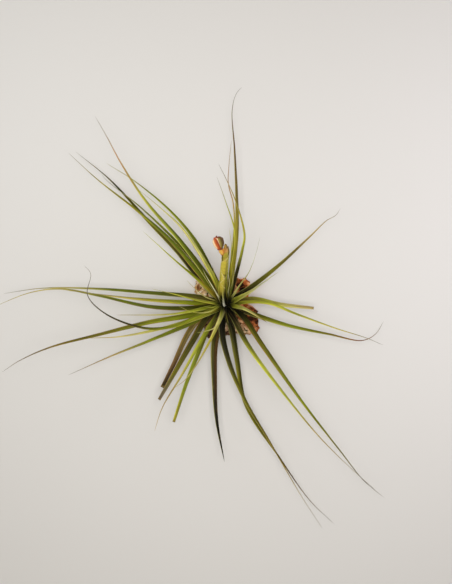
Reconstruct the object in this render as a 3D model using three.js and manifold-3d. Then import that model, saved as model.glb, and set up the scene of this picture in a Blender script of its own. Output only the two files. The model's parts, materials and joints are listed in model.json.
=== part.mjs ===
// Air plant, a vicentina x fasciculata hybrid, growing on a piece of cork bark.
// Millimetres, +Z up. The bark lies flat with its underside at z = 0 and the rosette opens upward.
// The stem's axis is the Z axis.

import * as THREE from 'three';
import { mergeVertices } from 'three/addons/utils/BufferGeometryUtils.js';
import Module from 'manifold-3d';

const wasm = await Module();
wasm.setup();

// Driving dimensions
const gap = 0.3;              // clear gap between pieces that touch on the real plant
const barkHeight = 27;        // upper face of the bark round the stem
const barkDrop = 3.5;         // how far that face falls towards its edge
const socketDepth = 9;        // how far the stem's foot is let into the bark
const stemTop = 67;           // height of the stem's tip
const stemFootRadius = 6.4;
const stemTipRadius = 5.4;

// The courses below are plan positions as seen from straight above, from viewHeight over
// viewLevel. A point above that level lies nearer the middle of the view than it looks.
const viewHeight = 1000;
const viewLevel = 50;
const viewMiddle = { x: 0, y: 16 };

// How a leaf of a given age leaves the stem. Age 0 is the oldest and lowest, 1 the youngest.
const oldestAttach = 31;      // height of the oldest leaf's foot
const youngestAttach = 62;
const oldestRise = 0.32;      // slope at the foot of the oldest leaf
const youngestRise = 2.9;
const riseCurve = 1.35;       // above 1 keeps the middle leaves low and lets the young ones stand
const archRadius = 72;        // plan distance over which a leaf bends to level
const sagAtReach = 13;        // how far a leaf has sunk at sagReach from the stem
const sagReach = 200;

// Leaf section
const footWidth = 4.6;        // widest that a foot may be where the leaves crowd at the stem
const flatFootGap = 0.5;      // from the stem to the middle of the oldest leaf's foot
const steepFootGap = 1;       // the same for the youngest, whose foot is nearly upright
const footSpread = 34;        // plan distance over which a leaf reaches its full width
const channelDepth = 0.13;    // depth of the channel as a share of the width
const leafThickness = 0.12;   // as a share of the width
const thinnestLeaf = 0.72;
const threadWidth = 0.8;
const taperPower = 1.12;
const stationLength = 24;     // longest stretch of leaf between two sections
const stationTurn = 0.5;      // turn, in radians, that counts as one such stretch

// Each leaf: age, bearing of its foot on the stem in degrees, width near the foot, colour and
// its course from the foot to the tip. A leaf with cut set ends blunt, that many mm wide. A leaf
// with a foot of its own stands on the stem's tip, and its course gives the heights too.
const green = 0x7d8a24;
const olive = 0x6a6a1c;
const lime = 0x9aa63a;
const straw = 0xb3ab72;
const shade = 0x4a4a1a;

const leaves = {
  leaf_upper_left_1: { age: 0.12, from: 104, width: 6.6, colour: shade,
    course: [[-19, 44], [-40, 83], [-73, 122], [-120, 161], [-155, 183]] },
  leaf_upper_left_2: { age: 0.54, from: 112, width: 5.6, colour: lime,
    course: [[-19, 38], [-39, 71], [-60, 100], [-86, 126], [-115, 150]] },
  leaf_upper_left_3: { age: 0.42, from: 124, width: 8.2, colour: green,
    course: [[-30, 44], [-60, 83], [-105, 135], [-138, 186], [-155, 218], [-170, 244]] },
  leaf_upper_left_4: { age: 0.22, from: 128, width: 5.2, colour: olive,
    course: [[-31, 44], [-66, 83], [-112, 127], [-155, 161], [-161, 168]] },
  leaf_upper_left_5: { age: 0.02, from: 146, width: 8.2, colour: shade,
    course: [[-32, 31], [-64, 70], [-99, 106], [-151, 162], [-195, 198]] },
  leaf_upper_left_6: { age: 0.32, from: 138, width: 7, colour: green,
    course: [[-38, 44], [-72, 83], [-112, 119], [-168, 163], [-205, 197]] },
  leaf_upper_left_7: { age: 0.66, from: 146, width: 6.4, colour: lime,
    course: [[-34, 30], [-66, 57], [-86, 75], [-108, 95]] },
  leaf_upper_left_8: { age: 0.83, from: 156, width: 3, colour: straw,
    course: [[-27, 10], [-42, 22], [-51, 31]] },
  leaf_upper_left_9: { age: 0.74, from: 118, width: 4.2, colour: lime,
    course: [[-9, 20], [-12, 29], [-18, 51]] },
  leaf_upper_left_10: { age: 1, from: 172, width: 2.8, colour: straw,
    course: [[-12.5, 10], [-17.5, 23], [-30, 47]] },

  leaf_top_1: { age: 0.16, from: 72, width: 8.2, colour: green,
    course: [[8, 44], [14, 96], [14, 135], [11, 203], [8, 252], [13, 273], [21, 283]] },
  leaf_top_2: { age: 0.28, from: 82, width: 4.4, colour: olive,
    course: [[5, 40], [9, 75], [11, 109], [9, 133], [3, 157], [4, 183], [7, 213]] },
  leaf_top_3: { age: 0.52, from: 56, width: 6.8, colour: shade,
    course: [[12, 35], [21, 70], [24, 90], [14, 130], [1, 161], [-10, 183]] },
  leaf_top_4: { age: 0.4, from: 80, width: 5.6, colour: lime,
    course: [[6, 38], [12, 90], [-1, 135], [-12, 166]] },
  leaf_top_5: { age: 0.64, from: 76, width: 4.2, colour: lime,
    course: [[5, 44], [7, 75], [4, 99]] },
  leaf_top_6: { age: 0.86, from: 66, width: 2.4, colour: straw,
    course: [[3, 18], [4.5, 26], [2, 46]] },
  leaf_top_7: { foot: [1.8, -2.6, 67.6], width: 3, colour: straw,
    course: [[-2, 1, 88], [-4, 12, 112], [-6, 28, 136]] },
  leaf_top_8: { age: 0.72, from: 44, width: 4.2, colour: lime,
    course: [[18, 25], [30, 42], [40, 70], [44, 87]] },

  leaf_right_1: { age: 0.2, from: 38, width: 8.6, colour: shade,
    course: [[31, 21], [70, 52], [109, 88], [131, 109], [143, 116], [149, 125]] },
  leaf_right_2: { age: 0.6, from: 24, width: 7.2, colour: lime,
    course: [[31, 16], [47, 27], [68, 42]] },
  leaf_right_3: { age: 0.06, from: 14, width: 7.6, colour: straw, cut: 2.8,
    course: [[34, 7], [70, 0], [114, -5]] },
  leaf_right_4: { age: 0.34, from: 0, width: 5.2, colour: green,
    course: [[31, 3], [57, 1], [90, -12], [142, -31], [183, -44], [204, -53]] },
  leaf_right_5: { age: 0.76, from: -8, width: 6.6, colour: lime,
    course: [[26, -5], [52, -23]] },
  leaf_right_6: { age: 0.02, from: -20, width: 8.4, colour: green,
    course: [[51, -18], [83, -28], [135, -39], [177, -47], [194, -39], [205, -22]] },

  leaf_lower_right_1: { age: 0.24, from: -38, width: 8.2, colour: green,
    course: [[22, -14], [48, -52], [100, -127], [148, -190], [179, -229], [205, -251]] },
  leaf_lower_right_2: { age: 0.42, from: -58, width: 8.2, colour: green,
    course: [[10, -18], [27, -51], [68, -107], [122, -173], [173, -223], [194, -241]] },
  leaf_lower_right_3: { age: 0.14, from: -98, width: 8.4, colour: green,
    course: [[-5, -34], [4, -75], [25, -125], [57, -179], [96, -246], [125, -291]] },
  leaf_lower_right_4: { age: 0.0, from: -80, width: 8.4, colour: shade,
    course: [[7, -29], [14, -70], [26, -131], [70, -200], [109, -255], [140, -285]] },

  leaf_lower_1: { age: 0.06, from: -112, width: 9.8, colour: shade,
    course: [[-14, -47], [-15, -99], [-12, -151], [-2, -205]] },
  leaf_lower_2: { age: 0.6, from: -114, width: 6, colour: lime,
    course: [[-9, -22], [-18, -42], [-38, -78], [-53, -98], [-69, -110]] },
  leaf_lower_3: { age: 0.38, from: -132, width: 7, colour: green,
    course: [[-27, -38], [-57, -91], [-83, -135], [-93, -165]] },
  leaf_lower_4: { age: 0.26, from: -124, width: 6.8, colour: green, cut: 3.5,
    course: [[-23, -31], [-35, -60], [-52, -104], [-68, -153]] },
  leaf_lower_5: { age: 0.0, from: -160, width: 7.8, colour: shade, cut: 3.4,
    course: [[-30, -14], [-48, -36], [-68, -78], [-83, -108]] },
  leaf_lower_6: { age: 0.18, from: -146, width: 9, colour: olive, cut: 3.4,
    course: [[-25, -17], [-43, -47], [-72, -98], [-87, -124]] },
  leaf_lower_7: { age: 0.92, from: -134, width: 3.2, colour: lime,
    course: [[-9, -22], [-16, -31], [-27, -35], [-38, -37]] },

  leaf_left_1: { age: 0.08, from: 164, width: 6.8, colour: olive,
    course: [[-34, 9], [-99, 15], [-164, 20], [-237, 21], [-289, 14]] },
  leaf_left_2: { age: 0.74, from: 178, width: 5, colour: lime,
    course: [[-40, 6], [-66, 13], [-96, 20]] },
  leaf_left_3: { age: 0.2, from: 174, width: 5.8, colour: olive,
    course: [[-60, 3], [-125, 8], [-190, 16], [-208, 18]] },
  leaf_left_4: { age: 0.32, from: -172, width: 6.4, colour: green,
    course: [[-47, -5], [-99, -3], [-164, 11], [-216, 20], [-255, 15], [-304, -4]] },
  leaf_left_5: { age: 0.6, from: -178, width: 6.4, colour: lime,
    course: [[-47, -9], [-73, -13], [-143, -14]] },
  leaf_left_6: { age: 0.45, from: -164, width: 8.4, colour: green,
    course: [[-47, -14], [-99, -23], [-164, -39], [-229, -56], [-268, -73], [-291, -88]] },
  leaf_left_7: { age: 0.68, from: -160, width: 6.8, colour: shade,
    course: [[-40, -17], [-66, -28], [-105, -31], [-157, -12], [-180, 12], [-176, 40], [-185, 51]] },
  leaf_left_8: { age: 0.53, from: -148, width: 7.6, colour: olive,
    course: [[-47, -21], [-86, -32], [-138, -42], [-179, -44]] },
  leaf_left_9: { age: 0.1, from: -146, width: 7.2, colour: green,
    course: [[-47, -25], [-99, -47], [-151, -68], [-205, -92]] },
  leaf_left_10: { age: 0.88, from: -168, width: 3, colour: lime,
    course: [[-23, -10], [-44, -10], [-62, -2]] },
};

// Stem radius at a height: a slow taper up to the tip
function stemRadiusAt(z) {
  const share = THREE.MathUtils.clamp((z - barkHeight) / (stemTop - barkHeight), 0, 1);
  return THREE.MathUtils.lerp(stemFootRadius, stemTipRadius, share);
}

// Height of a leaf's channel at a plan distance from the stem: foot, climb that eases off, sag
function leafHeight(age, reach) {
  const attach = THREE.MathUtils.lerp(oldestAttach, youngestAttach, age);
  const rise = oldestRise + (youngestRise - oldestRise) * age ** riseCurve;
  const climb = rise * archRadius * (1 - Math.exp(-Math.max(reach - 4, 0) / archRadius));
  return attach + climb - sagAtReach * (reach / sagReach) ** 2;
}

// True place of a point of the course, moved in along the line of sight for its height
function fromView(seen, z) {
  const pull = 1 - (z - viewLevel) / viewHeight;
  return new THREE.Vector3(
    viewMiddle.x + (seen.x - viewMiddle.x) * pull,
    viewMiddle.y + (seen.y - viewMiddle.y) * pull,
    z,
  );
}

// Smooth curve through the foot on the stem and the points of the course
function leafCurve(leaf) {
  if (leaf.foot) {
    const points = [leaf.foot, ...leaf.course].map(([x, y, z]) => new THREE.Vector3(x, y, z));
    return new THREE.CatmullRomCurve3(points, false, 'centripetal');
  }
  const attach = THREE.MathUtils.lerp(oldestAttach, youngestAttach, leaf.age);
  const start = stemRadiusAt(attach) + THREE.MathUtils.lerp(flatFootGap, steepFootGap, leaf.age);
  const bearing = THREE.MathUtils.degToRad(leaf.from);
  const plan = [new THREE.Vector3(start * Math.cos(bearing), start * Math.sin(bearing), 0)];
  for (const [x, y] of leaf.course) {
    plan.push(new THREE.Vector3(x, y, 0));
  }
  return new THREE.CatmullRomCurve3(plan, false, 'centripetal');
}

// Points along a leaf, closer together where it turns more
function leafStations(leaf) {
  const curve = leafCurve(leaf);
  const heightOf = (p) => (leaf.foot ? p.z : leafHeight(leaf.age, Math.hypot(p.x, p.y)));
  const fine = curve.getSpacedPoints(240).map((p) => fromView(p, heightOf(p)));
  const measure = [0];
  for (let i = 1; i < fine.length; i += 1) {
    const step = fine[i].distanceTo(fine[i - 1]);
    let turn = 0;
    if (i > 1) {
      const before = fine[i - 1].clone().sub(fine[i - 2]);
      const after = fine[i].clone().sub(fine[i - 1]);
      turn = before.angleTo(after);
    }
    measure.push(measure[i - 1] + step / stationLength + turn / stationTurn);
  }
  const whole = measure[measure.length - 1];
  const count = Math.max(7, Math.ceil(whole));
  const picked = [];
  let at = 0;
  for (let k = 0; k <= count; k += 1) {
    const wanted = (whole * k) / count;
    while (at < measure.length - 1 && measure[at] < wanted - 1e-9) {
      at += 1;
    }
    picked.push(fine[at]);
  }
  return picked;
}

// Width along a leaf: pinched at the foot, then an even taper to a thread or to the cut end
function leafWidth(leaf, share, reach) {
  const end = leaf.cut ?? threadWidth;
  const power = leaf.cut ? 1 : taperPower;
  const blade = end + (leaf.width - end) * (1 - share) ** power;
  const opened = THREE.MathUtils.smoothstep(reach, 5, footSpread);
  return THREE.MathUtils.lerp(Math.min(blade, footWidth), blade, opened);
}

// Closed mesh from rings of points, each ring the same count, capped by fans at both ends
function loft(rings) {
  const sides = rings[0].length;
  const positions = rings.flat().flatMap((p) => [p.x, p.y, p.z]);
  const index = [];
  for (let r = 0; r < rings.length - 1; r += 1) {
    for (let s = 0; s < sides; s += 1) {
      const a = r * sides + s;
      const b = r * sides + ((s + 1) % sides);
      const c = a + sides;
      const d = b + sides;
      index.push(a, d, b, a, c, d);
    }
  }
  const last = (rings.length - 1) * sides;
  for (let s = 1; s < sides - 1; s += 1) {
    index.push(0, s, s + 1);
    index.push(last, last + s + 1, last + s);
  }
  const geometry = new THREE.BufferGeometry();
  geometry.setAttribute('position', new THREE.Float32BufferAttribute(positions, 3));
  geometry.setIndex(index);
  return geometry;
}

// Channelled leaf: a shallow V section of six points carried along the leaf
function leafGeometry(leaf) {
  const stations = leafStations(leaf);
  const lengths = [0];
  for (let i = 1; i < stations.length; i += 1) {
    lengths.push(lengths[i - 1] + stations[i].distanceTo(stations[i - 1]));
  }
  const whole = lengths[lengths.length - 1];
  const rings = stations.map((p, i) => {
    const before = stations[Math.max(i - 1, 0)];
    const after = stations[Math.min(i + 1, stations.length - 1)];
    const along = after.clone().sub(before).normalize();
    const side = new THREE.Vector3(along.y, -along.x, 0).normalize();
    const up = side.clone().cross(along);
    const width = leafWidth(leaf, lengths[i] / whole, Math.hypot(p.x, p.y));
    const depth = channelDepth * width;
    const thick = Math.max(thinnestLeaf, leafThickness * width);
    const section = [
      [-width / 2, depth], [-width / 2, depth - thick], [0, -thick],
      [width / 2, depth - thick], [width / 2, depth], [0, 0],
    ];
    return section.map(([across, above]) => (
      p.clone().addScaledVector(side, across).addScaledVector(up, above)));
  });
  return loft(rings);
}

// Mesh with its own matt material
function named(name, geometry, colour, roughness) {
  const material = new THREE.MeshStandardMaterial({ color: colour, roughness, metalness: 0 });
  const mesh = new THREE.Mesh(geometry, material);
  mesh.name = name;
  return mesh;
}

// Solid for joining and cutting, from a geometry whose shared vertices are merged
function solidOf(geometry) {
  const bare = geometry.clone();
  bare.deleteAttribute('normal');
  bare.deleteAttribute('uv');
  const merged = mergeVertices(bare, 1e-3);
  return new wasm.Manifold(new wasm.Mesh({
    numProp: 3,
    vertProperties: new Float32Array(merged.attributes.position.array),
    triVerts: new Uint32Array(merged.index.array),
  }));
}

function geometryOf(solid) {
  const mesh = solid.getMesh();
  const geometry = new THREE.BufferGeometry();
  geometry.setAttribute('position', new THREE.Float32BufferAttribute(mesh.vertProperties, 3));
  geometry.setIndex([...mesh.triVerts]);
  return geometry;
}

// Stem: a short turned core whose foot stands in the bark
const stemSides = 16;
const socketSides = 20;

function stemGeometry() {
  const foot = barkHeight - socketDepth + gap;
  const tip = stemTop;
  const profile = [
    new THREE.Vector2(0, foot),
    new THREE.Vector2(stemFootRadius - 1, foot),
    new THREE.Vector2(stemFootRadius, foot + 1.5),
    new THREE.Vector2(stemFootRadius, barkHeight),
    new THREE.Vector2(stemRadiusAt(48), 48),
    new THREE.Vector2(stemTipRadius, tip - 1.5),
    new THREE.Vector2(stemTipRadius - 1.6, tip),
    new THREE.Vector2(0, tip),
  ];
  const turned = new THREE.LatheGeometry(profile, stemSides);
  turned.rotateX(Math.PI / 2);
  return turned;
}

// Cork bark: a rough slab. Its outline and its upper face are worked out from waves, with
// furrows where two of the waves meet.
const barkCorners = [[-42, 31], [-24, 33.5], [-8, 32], [12, 35], [33, 33], [34, 8], [36, 1], [46, -5],
  [45, -33], [28, -38], [10, -40], [-8, -43], [-27, -45], [-31, -28], [-37, -8], [-38, 10]];
const barkMiddle = { x: 2, y: -4 };
const barkAround = 72;
const barkRings = 9;
const barkEdge = [       // share of the outline, height, roughness of the outline, share of the relief
  { share: 0.9, height: 0, wave: 0, relief: 0 },
  { share: 0.96, height: 1.4, wave: 1, relief: 0 },
  { share: 0.985, height: 8, wave: 2.2, relief: 0.5 },
  { share: 0.97, height: 14, wave: 1.6, relief: 0.6 },
  { share: 1, height: 19, wave: 2, relief: 0.5 },
];

// Rough relief: waves of several lengths, and furrows along the zero lines of a slanted wave
function barkRelief(x, y) {
  const swell = 1.6 * Math.sin(x * 0.19 + 0.6) * Math.cos(y * 0.15 - 0.4);
  const lumps = 1.3 * Math.sin(x * 0.43 + y * 0.31 + 1.1) + 0.9 * Math.cos(x * 0.27 - y * 0.63 + 2);
  const furrow = Math.abs(Math.sin(x * 0.13 + y * 0.05 + 0.8 * Math.sin(y * 0.21)));
  return swell + lumps - 3 * (1 - furrow) ** 4;
}

function barkGeometry() {
  const outline = new THREE.CatmullRomCurve3(
    barkCorners.map(([x, y]) => new THREE.Vector3(x, y, 0)), true, 'centripetal');
  const edge = outline.getSpacedPoints(barkAround);
  edge.pop();
  const ringAt = (share, wave, heightOf) => edge.map((p, i) => {
    const rough = 1 + wave * (0.011 * Math.sin(i * 2.4) + 0.012 * Math.sin(i * 1.1 + 1));
    const x = barkMiddle.x + (p.x - barkMiddle.x) * share * rough;
    const y = barkMiddle.y + (p.y - barkMiddle.y) * share * rough;
    return new THREE.Vector3(x, y, heightOf(x, y));
  });
  const rings = barkEdge.map((row) => (
    ringAt(row.share, row.wave, (x, y) => row.height + row.relief * barkRelief(y, x))));
  for (let k = 0; k < barkRings; k += 1) {
    const share = 0.955 * (1 - k / barkRings) ** 0.85;
    const crown = barkHeight - barkDrop * share ** 3;
    rings.push(ringAt(share, 0.6, (x, y) => crown + barkRelief(x, y) * Math.min(1, share * 1.6)));
  }
  return loft(rings);
}

function socketGeometry() {
  const radius = (stemFootRadius + gap) / Math.cos(Math.PI / socketSides);
  const bore = new THREE.CylinderGeometry(radius, radius, 2 * barkHeight, socketSides);
  bore.rotateX(Math.PI / 2);
  bore.translate(0, 0, 2 * barkHeight - socketDepth);
  return bore;
}

// Closed tube along a curve, with the half-width and half-thickness of each section given as
// [share of the length, half-width, half-thickness]
function sleeve(points, sections, sides) {
  const curve = new THREE.CatmullRomCurve3(
    points.map(([x, y, z]) => fromView({ x, y }, z)), false, 'centripetal');
  const rings = sections.map(([share, wide, thick]) => {
    const p = curve.getPointAt(share);
    const along = curve.getTangentAt(share);
    const side = new THREE.Vector3(along.y, -along.x, 0).normalize();
    const up = side.clone().cross(along);
    const ring = [];
    for (let s = 0; s < sides; s += 1) {
      const turn = (s / sides) * Math.PI * 2;
      const across = wide * Math.cos(turn);
      const above = thick * Math.sin(turn);
      ring.push(p.clone().addScaledVector(side, across).addScaledVector(up, above));
    }
    return ring;
  });
  return loft(rings);
}

// Flower stalk: its radius steps out at the lip of each bract that wraps it
const stalkCourse = [[-2.3, 2.8, 67.6], [-4.5, 8.5, 77], [-6, 16, 89], [-4.8, 30, 105], [-2.4, 50, 122],
  [-0.4, 64, 133], [0.8, 78, 141]];
const stalkRadius = 3.7;
const stalkBracts = 6;
const bractsShare = 0.84;     // the rest is the stalk's bare pointed tip
const stalkSides = 10;

function stalkGeometry() {
  const sections = [];
  for (let b = 0; b < stalkBracts; b += 1) {
    const grown = stalkRadius * THREE.MathUtils.smoothstep(b, -2.5, 1.5);
    for (const [share, size] of [[0, 0.88], [0.5, 1], [0.92, 1.1]]) {
      const radius = grown * size;
      sections.push([(b + share) / stalkBracts * bractsShare, radius, radius]);
    }
  }
  sections.push([bractsShare + 0.03, stalkRadius * 0.66, stalkRadius * 0.66]);
  sections.push([1, 0.7, 0.7]);
  return sleeve(stalkCourse, sections, stalkSides);
}

// Flower head: a cupped bract at the stalk's side, and a flat spike of two boat-shaped bracts
const headSides = 10;
const cupCourse = [[-5, 65, 135.2], [-5.8, 68, 136.7], [-6.8, 71, 138.2]];
const cupSections = [[0, 1.2, 1.2], [0.35, 2.9, 2.6], [0.8, 3.9, 3.2], [1, 3.3, 2.7]];
const boatSections = [[0, 1.6, 1.5], [0.25, 3.1, 2.3], [0.6, 3.7, 2.6], [0.86, 3.1, 2.2], [1, 1.6, 1.3]];
const leftBoat = [[-8.6, 71.2, 139.2], [-12, 79, 142.8], [-13, 88, 146.5]];
const rightBoat = [[-7.2, 71.2, 140], [-7.4, 79, 144.3], [-8.8, 88, 148]];

function headGeometry() {
  const left = solidOf(sleeve(leftBoat, boatSections, headSides));
  const right = solidOf(sleeve(rightBoat, boatSections, headSides));
  return geometryOf(left.add(right));
}

const plant = new THREE.Group();
const bark = solidOf(barkGeometry()).subtract(solidOf(socketGeometry()));
plant.add(named('cork_bark', geometryOf(bark), 0xb07a4c, 0.95));
plant.add(named('stem', stemGeometry(), 0x8a8450, 0.8));
for (const [name, leaf] of Object.entries(leaves)) {
  plant.add(named(name, leafGeometry(leaf), leaf.colour, 0.6));
}
plant.add(named('flower_stalk', stalkGeometry(), 0xc8b830, 0.6));
plant.add(named('flower_cup', sleeve(cupCourse, cupSections, headSides), 0xd08a34, 0.6));
plant.add(named('flower_spike', headGeometry(), 0xb4562a, 0.6));

export default plant;
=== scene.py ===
# Air plant, a vicentina x fasciculata hybrid, on a piece of cork bark, seen from straight above.
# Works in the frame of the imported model, in metres. The dictionaries' sizes are in mm, and only
# those of the studio are in metres.
import json

import bpy
import numpy as np
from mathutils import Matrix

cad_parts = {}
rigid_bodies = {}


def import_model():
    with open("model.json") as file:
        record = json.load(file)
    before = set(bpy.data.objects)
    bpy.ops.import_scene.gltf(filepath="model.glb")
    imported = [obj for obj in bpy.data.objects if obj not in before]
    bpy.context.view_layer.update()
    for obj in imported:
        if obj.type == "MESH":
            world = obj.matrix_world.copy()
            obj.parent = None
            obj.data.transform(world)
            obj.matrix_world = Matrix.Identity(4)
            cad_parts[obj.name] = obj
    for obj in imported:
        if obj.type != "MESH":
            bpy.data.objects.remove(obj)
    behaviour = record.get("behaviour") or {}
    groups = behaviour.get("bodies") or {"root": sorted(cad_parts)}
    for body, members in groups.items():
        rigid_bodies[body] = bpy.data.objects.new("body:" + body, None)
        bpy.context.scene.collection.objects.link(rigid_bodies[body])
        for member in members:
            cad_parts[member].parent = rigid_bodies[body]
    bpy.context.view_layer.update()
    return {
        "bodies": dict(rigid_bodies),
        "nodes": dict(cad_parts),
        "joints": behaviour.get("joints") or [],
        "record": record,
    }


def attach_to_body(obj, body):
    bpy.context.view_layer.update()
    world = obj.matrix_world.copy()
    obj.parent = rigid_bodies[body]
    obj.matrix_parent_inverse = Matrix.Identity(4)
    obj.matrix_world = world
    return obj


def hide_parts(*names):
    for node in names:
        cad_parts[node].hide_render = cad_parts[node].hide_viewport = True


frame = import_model()
mm = 0.001

# The photograph's view: straight down, with the top of the picture towards +Y
view = {
    "height": 1050,
    "middle": (0, 16),
    "lens": 47.42,      # on a 36 mm sensor this shows 759 mm of height at 1 m
    "sensor": 36,
    "clip": (10, 20000),
}


def placeCamera():
    # Over the middle of the view and unturned, so it looks straight down
    data = bpy.data.cameras.new("cameraAbove")
    data.sensor_width = view["sensor"]
    data.lens = view["lens"]
    data.clip_start, data.clip_end = np.array(view["clip"]) * mm
    camera = bpy.data.objects.new("cameraAbove", data)
    camera.location = np.array([*view["middle"], view["height"]]) * mm
    bpy.context.scene.collection.objects.link(camera)
    bpy.context.scene.camera = camera


placeCamera()
bpy.context.scene.view_settings.view_transform = "Standard"
print("camera placed")


def linearFrom(hexText):
    # sRGB hex to linear: the lower stretch divided by 12.92, the rest a power of 2.4
    c = np.array([int(hexText[k:k + 2], 16) for k in (0, 2, 4)]) / 255
    return np.where(c <= 0.04045, c / 12.92, ((c + 0.055) / 1.055) ** 2.4)


def rgba(hexText):
    # The same colour with full opacity, as a colour socket holds it
    return (*linearFrom(hexText), 1.0)


def addNode(tree, kind, settings=None, links=None):
    # One node. A setting fills the input of its name or number, or else the property of its
    # name, and a link brings another node's socket to an input.
    node = tree.nodes.new("ShaderNode" + kind)
    for key, value in (settings or {}).items():
        if isinstance(key, int) or key in node.inputs:
            node.inputs[key].default_value = value
        else:
            setattr(node, key, value)
    for key, socket in (links or {}).items():
        tree.links.new(socket, node.inputs[key])
    return node


def newMaterial(name):
    # A material with nothing in it yet, and its node tree
    material = bpy.data.materials.new(name)
    material.use_nodes = True
    material.node_tree.nodes.clear()
    return material, material.node_tree


def smoothstep(x, low, high):
    # 0 up to low, 1 from high on, and between them a cubic that starts and ends level
    t = np.clip((x - low) / (high - low), 0, 1)
    return t * t * (3 - 2 * t)


def between(pair, share):
    # The first of a pair, plus that share of the way to the second
    return pair[0] + (pair[1] - pair[0]) * share


def lengthsAlong(line):
    # Length travelled up to each point: the running sum of the steps between the points
    return np.concatenate([[0], np.cumsum(np.linalg.norm(np.diff(line, axis=0), axis=1))])


def evenly(line, count):
    # The same line with count points, evenly spaced along it, and the length up to each
    travelled = lengthsAlong(line)
    wanted = np.linspace(0, travelled[-1], count)
    return np.stack([np.interp(wanted, travelled, axis) for axis in line.T], 1), wanted


def smoothCurve(points, count, closed=False):
    # Centripetal curve: each stretch is a cubic whose end slopes come from the square roots of
    # the distances to the points beside it. Then count points, evenly spaced along the whole.
    finePlaces = 64         # worked out for each stretch
    p = np.asarray(points, float)
    if closed:
        p = np.vstack([p[-1:], p, p[:2]])
    else:
        p = np.vstack([2 * p[0] - p[1], p, 2 * p[-1] - p[-2]])
    gaps = np.maximum((np.diff(p, axis=0) ** 2).sum(1) ** 0.25, 1e-4)[:, None]
    before, own, after = gaps[:-2], gaps[1:-1], gaps[2:]
    a, b, c, d = p[:-3], p[1:-2], p[2:-1], p[3:]
    slopeIn = ((b - a) / before - (c - a) / (before + own) + (c - b) / own) * own
    slopeOut = ((c - b) / own - (d - b) / (own + after) + (d - c) / after) * own
    t = np.linspace(0, 1, finePlaces, endpoint=False)[None, :, None]
    cubic = (b[:, None] + slopeIn[:, None] * t
             + (-3 * b + 3 * c - 2 * slopeIn - slopeOut)[:, None] * t ** 2
             + (2 * b - 2 * c + slopeIn + slopeOut)[:, None] * t ** 3)
    return evenly(np.vstack([cubic.reshape(-1, p.shape[1]), c[-1:]]), count)[0]


def latticeNoise(points, size, seed):
    # Smooth noise from -1 to 1: random values on a cubic lattice of the given size, blended
    # between the eight corners round each point with an eased weight
    cells = 32              # after which the values repeat
    table = np.random.default_rng(seed).uniform(-1, 1, (cells, cells, cells))
    scaled = np.asarray(points) / size
    whole = np.floor(scaled).astype(int)
    part = scaled - whole
    ease = part * part * (3 - 2 * part)
    total = np.zeros(scaled.shape[:-1])
    for corner in np.ndindex(2, 2, 2):
        weight = np.prod(np.where(corner, ease, 1 - ease), axis=-1)
        i, j, k = np.moveaxis((whole + corner) % cells, -1, 0)
        total += weight * table[i, j, k]
    return total


def ringFaces(count, around):
    # Quads between neighbouring rings, and a fan from each end ring to its middle point. The
    # two middle points come after those of the rings.
    start = np.arange(count - 1)[:, None] * around
    here = np.arange(around)[None, :]
    beside = (here + 1) % around
    quads = np.stack([start + here, start + beside, start + around + beside, start + around + here], -1)
    ring, nextOn = here.ravel(), beside.ravel()
    first, last = count * around, count * around + 1
    fans = np.vstack([
        np.stack([nextOn, ring, np.full(around, first)], 1),
        np.stack([first - around + ring, first - around + nextOn, np.full(around, last)], 1),
    ])
    return quads.reshape(-1, 4), fans


def ringMap(across, along):
    # Map places for the corners of the same quads and fans: across has the left and the right
    # place of each column, ring by ring, and along the place of each ring
    left, right = across
    around = left.shape[1]
    row = along[:, None] + 0 * left
    quads = np.stack([
        np.stack([left[:-1], row[:-1]], -1), np.stack([right[:-1], row[:-1]], -1),
        np.stack([right[1:], row[1:]], -1), np.stack([left[1:], row[1:]], -1)], 2)
    fans = np.zeros((2 * around, 3, 2))
    fans[:around, :, 1] = along[0]
    fans[around:, :, 1] = along[-1]
    fans[:around, 0, 0], fans[:around, 1, 0] = right[0], left[0]
    fans[around:, 0, 0], fans[around:, 1, 0] = left[-1], right[-1]
    return quads.reshape(-1, 4, 2), fans


def facesInward(points, quads):
    # Whether the volume is negative: the triple products of each quad's two triangles, summed
    a, b, c, d = np.moveaxis(points[quads], 1, 0)
    return (a * np.cross(b, c)).sum() + (a * np.cross(c, d)).sum() < 0


def withEnds(table):
    # A row for each point of the rings, then the mean of each end ring
    return np.vstack([table.reshape(-1, table.shape[-1]), table[0].mean(0), table[-1].mean(0)])


def wrappedSkin(name, rings, material, colours=None, values=None, across=None, along=None):
    # Closed skin over rings of points, turned the other way round where it faces inward. Its
    # colours and values become attributes of its points, and across and along make its map.
    quads, fans = ringFaces(*rings.shape[:2])
    points = withEnds(rings) * mm
    inward = facesInward(points, quads)
    if inward:
        quads, fans = quads[:, ::-1], fans[:, ::-1]
    mesh = bpy.data.meshes.new(name)
    mesh.from_pydata(points.tolist(), [], quads.tolist() + fans.tolist())
    mesh.shade_smooth()
    if across is not None:
        quadMap, fanMap = ringMap(across, along)
        if inward:
            quadMap, fanMap = quadMap[:, ::-1], fanMap[:, ::-1]
        corners = np.vstack([quadMap.reshape(-1, 2), fanMap.reshape(-1, 2)])
        layer = mesh.uv_layers.new(name="bladeMap")
        layer.data.foreach_set("uv", corners.ravel() * mm)
    for key, table in (colours or {}).items():
        full = withEnds(table)
        layer = mesh.attributes.new(key, "FLOAT_COLOR", "POINT")
        layer.data.foreach_set("color", np.hstack([full, np.ones((len(full), 1))]).ravel())
    for key, table in (values or {}).items():
        layer = mesh.attributes.new(key, "FLOAT", "POINT")
        layer.data.foreach_set("value", withEnds(table[..., None]).ravel())
    mesh.materials.append(material)
    piece = bpy.data.objects.new(name, mesh)
    bpy.context.scene.collection.objects.link(piece)
    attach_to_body(piece, "root")
    return piece


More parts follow.
